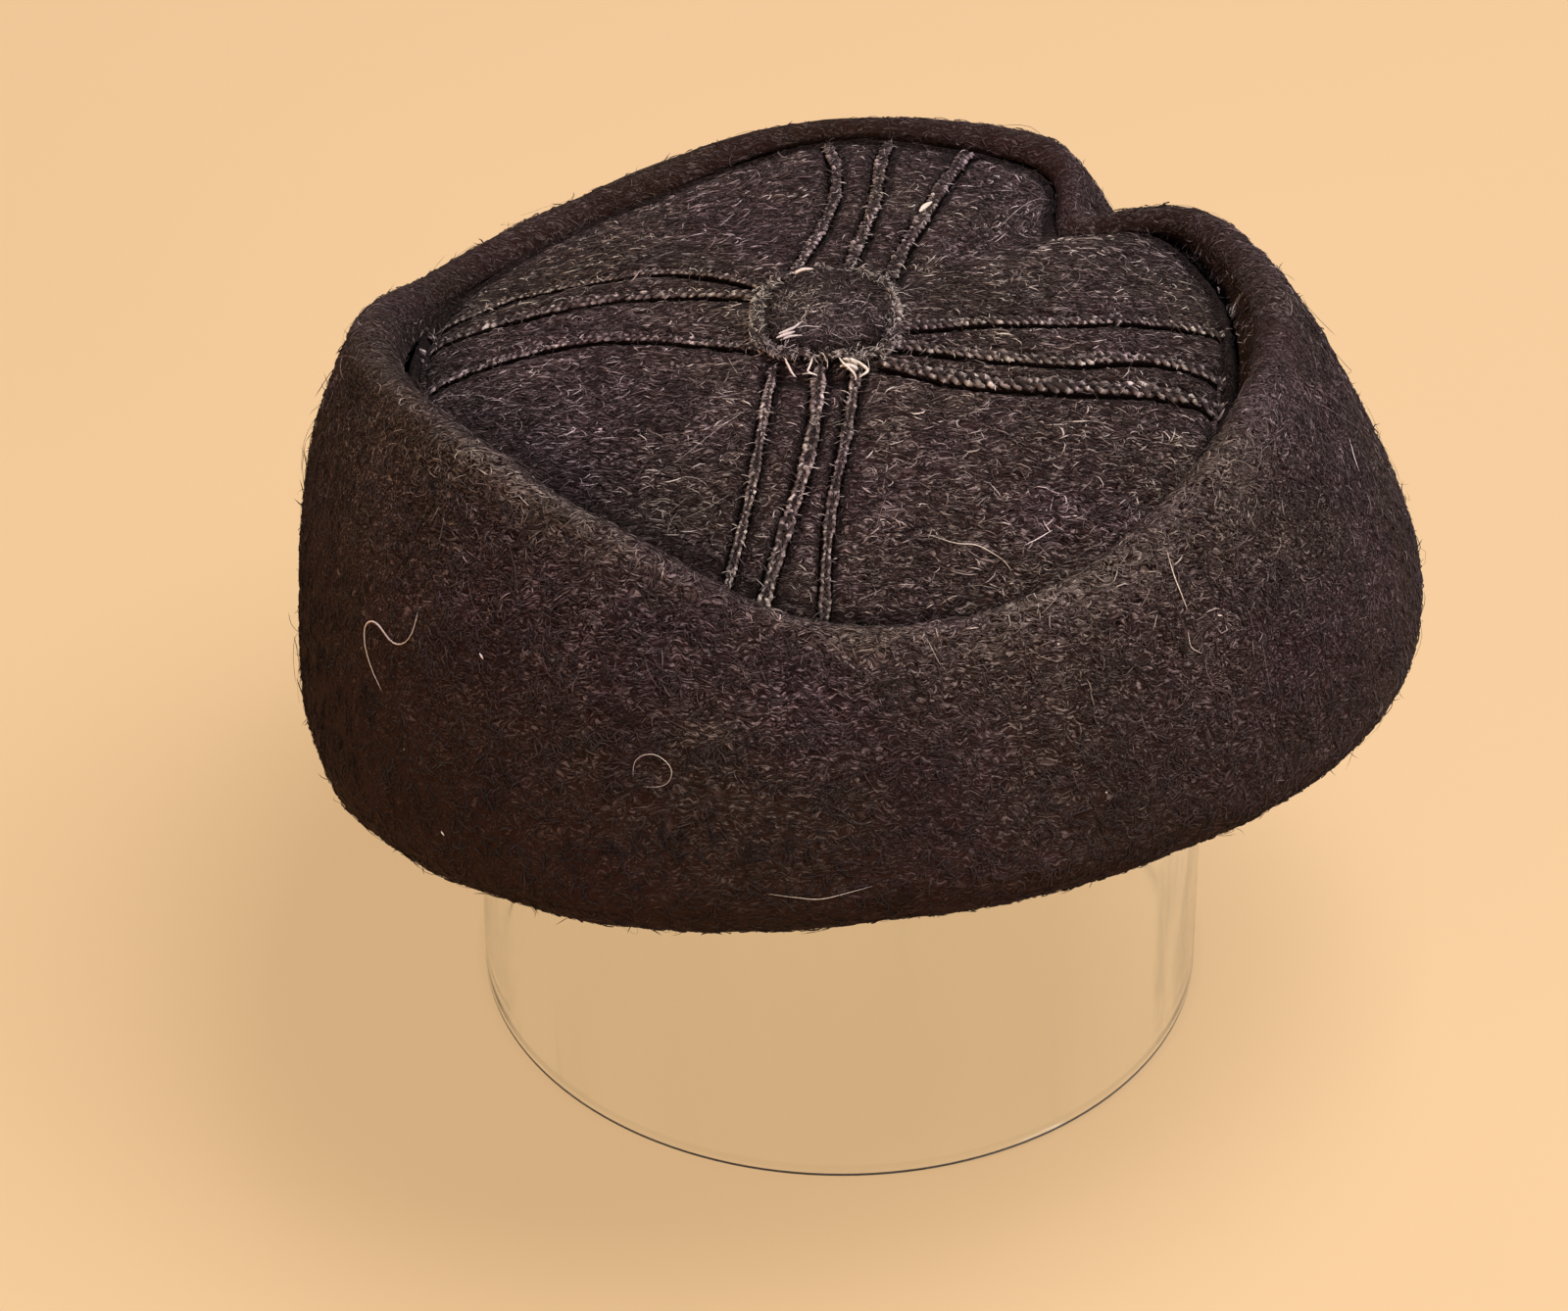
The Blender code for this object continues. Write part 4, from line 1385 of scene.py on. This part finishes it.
# %% Loose threads
LOOSE_POINTS = 26
LOOSE = (
    # where, half thickness (mm), height above the felt (mm), places
    ("cuff", 0.19, 0.5, ((220, 0.63), (220.5, 0.54), (218, 0.50), (215, 0.54),
                         (212.5, 0.50), (214, 0.43), (219, 0.37))),
    ("cuff", 0.11, 0.4, ((314.5, 0.97), (313.5, 0.89), (313, 0.78))),
    ("cuff", 0.08, 0.4, ((312, 0.72), (311.5, 0.67), (312.5, 0.63))),
    ("cuff", 0.10, 0.4, ((351, 0.70), (349, 0.66), (348, 0.62))),
    ("cuff", 0.06, 0.4, ((249, 0.44), (248.5, 0.50), (250.5, 0.54),
                         (253, 0.50), (252.5, 0.43), (250, 0.42))),
    ("cuff", 0.07, 0.4, ((263, 0.05), (267, 0.01), (269, 0.01), (273, 0.05))),
    ("cuff", 0.22, 0.3, ((229, 0.62), (229.7, 0.61))),
    ("cuff", 0.16, 0.3, ((230, 0.08), (230.5, 0.07))),
    ("cuff", 0.16, 0.3, ((316, 0.71), (316.5, 0.70))),
    ("crown", 0.12, 0.5, ((17.5, -60), (24, -62), (28, -61.5), (34, -65))),
    ("crown", 0.11, 0.5, ((37.5, -61), (40, -59.5), (43.5, -57))),
    ("crown", 0.20, 0.3, ((-50, -33.5), (-49, -33.5))),
    ("crown", 0.16, 0.3, ((50, -18.5), (51, -18.5))),
    ("crown", 0.42, 3.2, ((-13, -9.8), (-11.2, -8.6), (-9, -7.6))),
    ("crown", 0.36, 3.5, ((-12.6, -8.6), (-10.6, -7.4), (-8.2, -6))),
    ("crown", 0.28, 3.1, ((-12.2, -10.6), (-10.5, -9.2), (-7.6, -9))),
    ("crown", 0.22, 3.7, ((-11.4, -7.8), (-9.5, -7.3), (-7.5, -4.8))),
    ("crown", 0.10, 3.0, ((-9, -6.5), (-7, -5.5), (-4, -6))),
    ("crown", 0.55, 2.2, ((0.2, -16.4), (1.6, -15.9), (3, -16.2))),
    ("crown", 0.60, 2.5, ((0.6, -15.2), (1.9, -15.0), (3.2, -14.6))),
    ("crown", 0.30, 2.9, ((0.0, -15.0), (1.2, -16.8), (1.8, -18.6))),
    ("crown", 0.35, 2.0, ((3, -14), (4.5, -16), (6, -19))),
    ("crown", 0.25, 2.2, ((-11, -14), (-10.5, -17), (-9, -19))),
    ("crown", 0.22, 2.4, ((-4, -13), (-5, -16.5), (-8, -18))),
    ("crown", 0.45, 2.0, ((-10.5, 17.5), (-8, 18.5), (-5, 18.5))),
    ("crown", 0.60, 1.2, ((18, 44.5), (19, 47), (20.5, 50))),
)
lines, line_ups, radii, tones = [], [], [], []
for where, thick, high, places in LOOSE:
    line = softened(places, LOOSE_POINTS)
    if where == "cuff":
        low, high_row = zone_rows["cuff"][-1], zone_rows["cuff"][0]
        skin, ups = on_surface(low - line[:, 1] * (low - high_row),
                               line[:, 0] / 360.0 * AROUND)
    else:
        skin, ups = on_crown_skin(line * MM + np.array((CAP_X, CAP_Y)))
    lines.append(skin + ups * high * MM)
    line_ups.append(ups)
    radii.append(thick * MM * (0.25 + 0.75 * np.sin(
        math.pi * steps(LOOSE_POINTS))))
    tones.append(0.84 + 0.16 * rng.random(LOOSE_POINTS))
loose = threads("loose_threads", np.stack(lines), np.stack(radii),
                np.stack(line_ups), np.stack(tones), 6, lint_finish)
dress(loose)
print("loose threads:", len(LOOSE))

# %% [markdown]
# ## The clear stand
# The stand is a cut length of clear acrylic tube. Its colour comes only from
# what stands behind it, so the finish is plain: almost white, smooth and
# transparent, with the index of acrylic. What makes it read as real is the
# shape: round edges with a fine chamfer, which catch the light as thin lines.

# %% Stand
STAND_R, STAND_WALL, STAND_TALL = 80.0 * MM, 3.0 * MM, 146.0 * MM
CHAMFER = 0.6 * MM
STAND_TURNS = 144
inner = STAND_R - STAND_WALL
profile = ((inner + CHAMFER, 0.0), (STAND_R - CHAMFER, 0.0),
           (STAND_R, CHAMFER), (STAND_R, 0.25 * STAND_TALL),
           (STAND_R, 0.5 * STAND_TALL), (STAND_R, 0.75 * STAND_TALL),
           (STAND_R, STAND_TALL - CHAMFER), (STAND_R - CHAMFER, STAND_TALL),
           (inner + CHAMFER, STAND_TALL), (inner, STAND_TALL - CHAMFER),
           (inner, 0.75 * STAND_TALL), (inner, 0.5 * STAND_TALL),
           (inner, 0.25 * STAND_TALL), (inner, CHAMFER))
turn = 2 * math.pi * np.arange(STAND_TURNS) / STAND_TURNS
tube = np.array([[(stand_x + r * math.cos(a), stand_y + r * math.sin(a), z)
                  for a in turn] for r, z in profile])
tube_faces = grid_faces(len(profile) + 1, STAND_TURNS)[:, ::-1] % (
    len(profile) * STAND_TURNS)

acrylic, tree, shader = new_material("clear_acrylic_sheet")
coords = object_coords(tree)
haze = noise_node(tree, stretched(tree, coords, (40.0, 40.0, 9.0)), 1.0, 5.0,
                  0.6, 0.4)
tint = blend_colors(tree, spread(tree, haze, 0.3, 0.8), (0.97, 0.98, 0.97),
                    (0.92, 0.94, 0.93))
feed(tree, shader, Base_Color=tint, Metallic=0.0, IOR=1.49,
     Roughness=spread(tree, haze, 0.5, 0.75, 0.0, 0.30),
     Transmission_Weight=1.0)
let_light = tree.nodes.new("ShaderNodeMixShader")
ray = tree.nodes.new("ShaderNodeLightPath").outputs
clear = tree.nodes.new("ShaderNodeBsdfTransparent")
out = next(n for n in tree.nodes if n.type == "OUTPUT_MATERIAL")
passes = combine(tree, "MAXIMUM", ray["Is Shadow Ray"], ray["Is Diffuse Ray"])
for socket, value in zip(let_light.inputs, (passes, shader.outputs["BSDF"],
                                            clear.outputs["BSDF"])):
    plug(tree, socket, value)
feed(tree, out, Surface=let_light.outputs["Shader"])

# The foot's face and its outer chamfer are dark grey and opaque: a painted contact shadow
# along the foot.
foot_shadow_edge, tree, shader = new_material("acrylic_foot_shadow")
grit = noise_node(tree, object_coords(tree), 1800.0, 3.0, 0.6)
grey = blend_colors(tree, spread(tree, grit, 0.4, 0.65),
                    (0.020, 0.023, 0.028), (0.060, 0.068, 0.080))
feed(tree, shader, Base_Color=grey, Roughness=0.45)
relief(tree, shader, grit, 0.05 * MM)
stand_tube = link_mesh("stand_tube", tube.reshape(-1, 3), tube_faces, acrylic)
stand_tube.data.materials.append(foot_shadow_edge)
for face in stand_tube.data.polygons[:2 * STAND_TURNS]:
    face.material_index = 1
sharp = stand_tube.modifiers.new("crisp_edges", "EDGE_SPLIT")
sharp.split_angle = math.radians(30.0)
dress(stand_tube, "display_stand")
print("stand tube:", len(stand_tube.data.polygons), "faces")

# %% [markdown]
# ## Floor and light
# The floor is a plain warm cream sheet. It glows, though it is no lamp: the glow keeps it
# evenly bright and paints warm light onto the cuff from below. Three soft panels hang in a
# dim even sky: a cool one above, which rakes the crown and shows its hairs, a warm one at
# the left front and a weak one at the right front. The furrows are dark from their painted
# shade and the dark lines laid beside the braids.

# %% Floor
FLOOR_HALF = 8.0
floor_mat, tree, shader = new_material("floor_cream")
feed(tree, shader, Base_Color=(0.19, 0.13, 0.074), Roughness=0.85,
     Emission_Color=(1.0, 0.66, 0.34), Emission_Strength=0.56)
floor = link_mesh("floor", [(FLOOR_HALF * x, FLOOR_HALF * y, 0) for x, y in
                            ((-1, -1), (1, -1), (1, 1), (-1, 1))],
                  [(0, 1, 2, 3)], floor_mat)
floor.location.z = -0.0002
floor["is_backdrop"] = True
print("floor: %.0f m square" % (2 * FLOOR_HALF))

# %% Lights
PANELS = (
    # name, place and aim (m), size (m), power (W), colour
    ("panel_top", (0.42, -0.03, 1.30), (0, 0, 0.1), (0.9, 0.9), 32.0,
     (0.99, 0.97, 1.0)),
    ("panel_left", (-1.6, -0.9, 0.75), (0, 0, 0.1), (0.9, 0.7), 27.0,
     (1.0, 0.68, 0.45)),
    ("panel_right", (1.5, -1.2, 0.75), (0.05, 0, 0.13), (0.7, 0.6), 14.0,
     (1.0, 0.88, 0.94)),
)
for name, place, aim, size, power, color in PANELS:
    light = bpy.data.lights.new(name, "AREA")
    light.shape = "RECTANGLE"
    light.size, light.size_y = size
    light.energy, light.color = power, color
    lamp = bpy.data.objects.new(name, light)
    lamp.location = place
    lamp.rotation_euler = (Vector(aim) - Vector(place)).to_track_quat(
        "-Z", "Y").to_euler()
    bpy.context.scene.collection.objects.link(lamp)
world = bpy.data.worlds.new("soft_sky")
bpy.context.scene.world = world
world.use_nodes = True
feed(world.node_tree, world.node_tree.nodes["Background"],
     Color=(1.0, 0.86, 0.74), Strength=0.16)
print("lights:", [row[0] for row in PANELS], "and the sky")

# %% [markdown]
# The dressed cap must stay about as large as the solids. Both boxes are printed.

# %% Sizes, then finish
dressed_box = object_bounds()
for label, box in (("solids", solid_box), ("dressed", dressed_box)):
    print(label, [round(1000 * (b - a), 1) for a, b in zip(*box)], "mm")
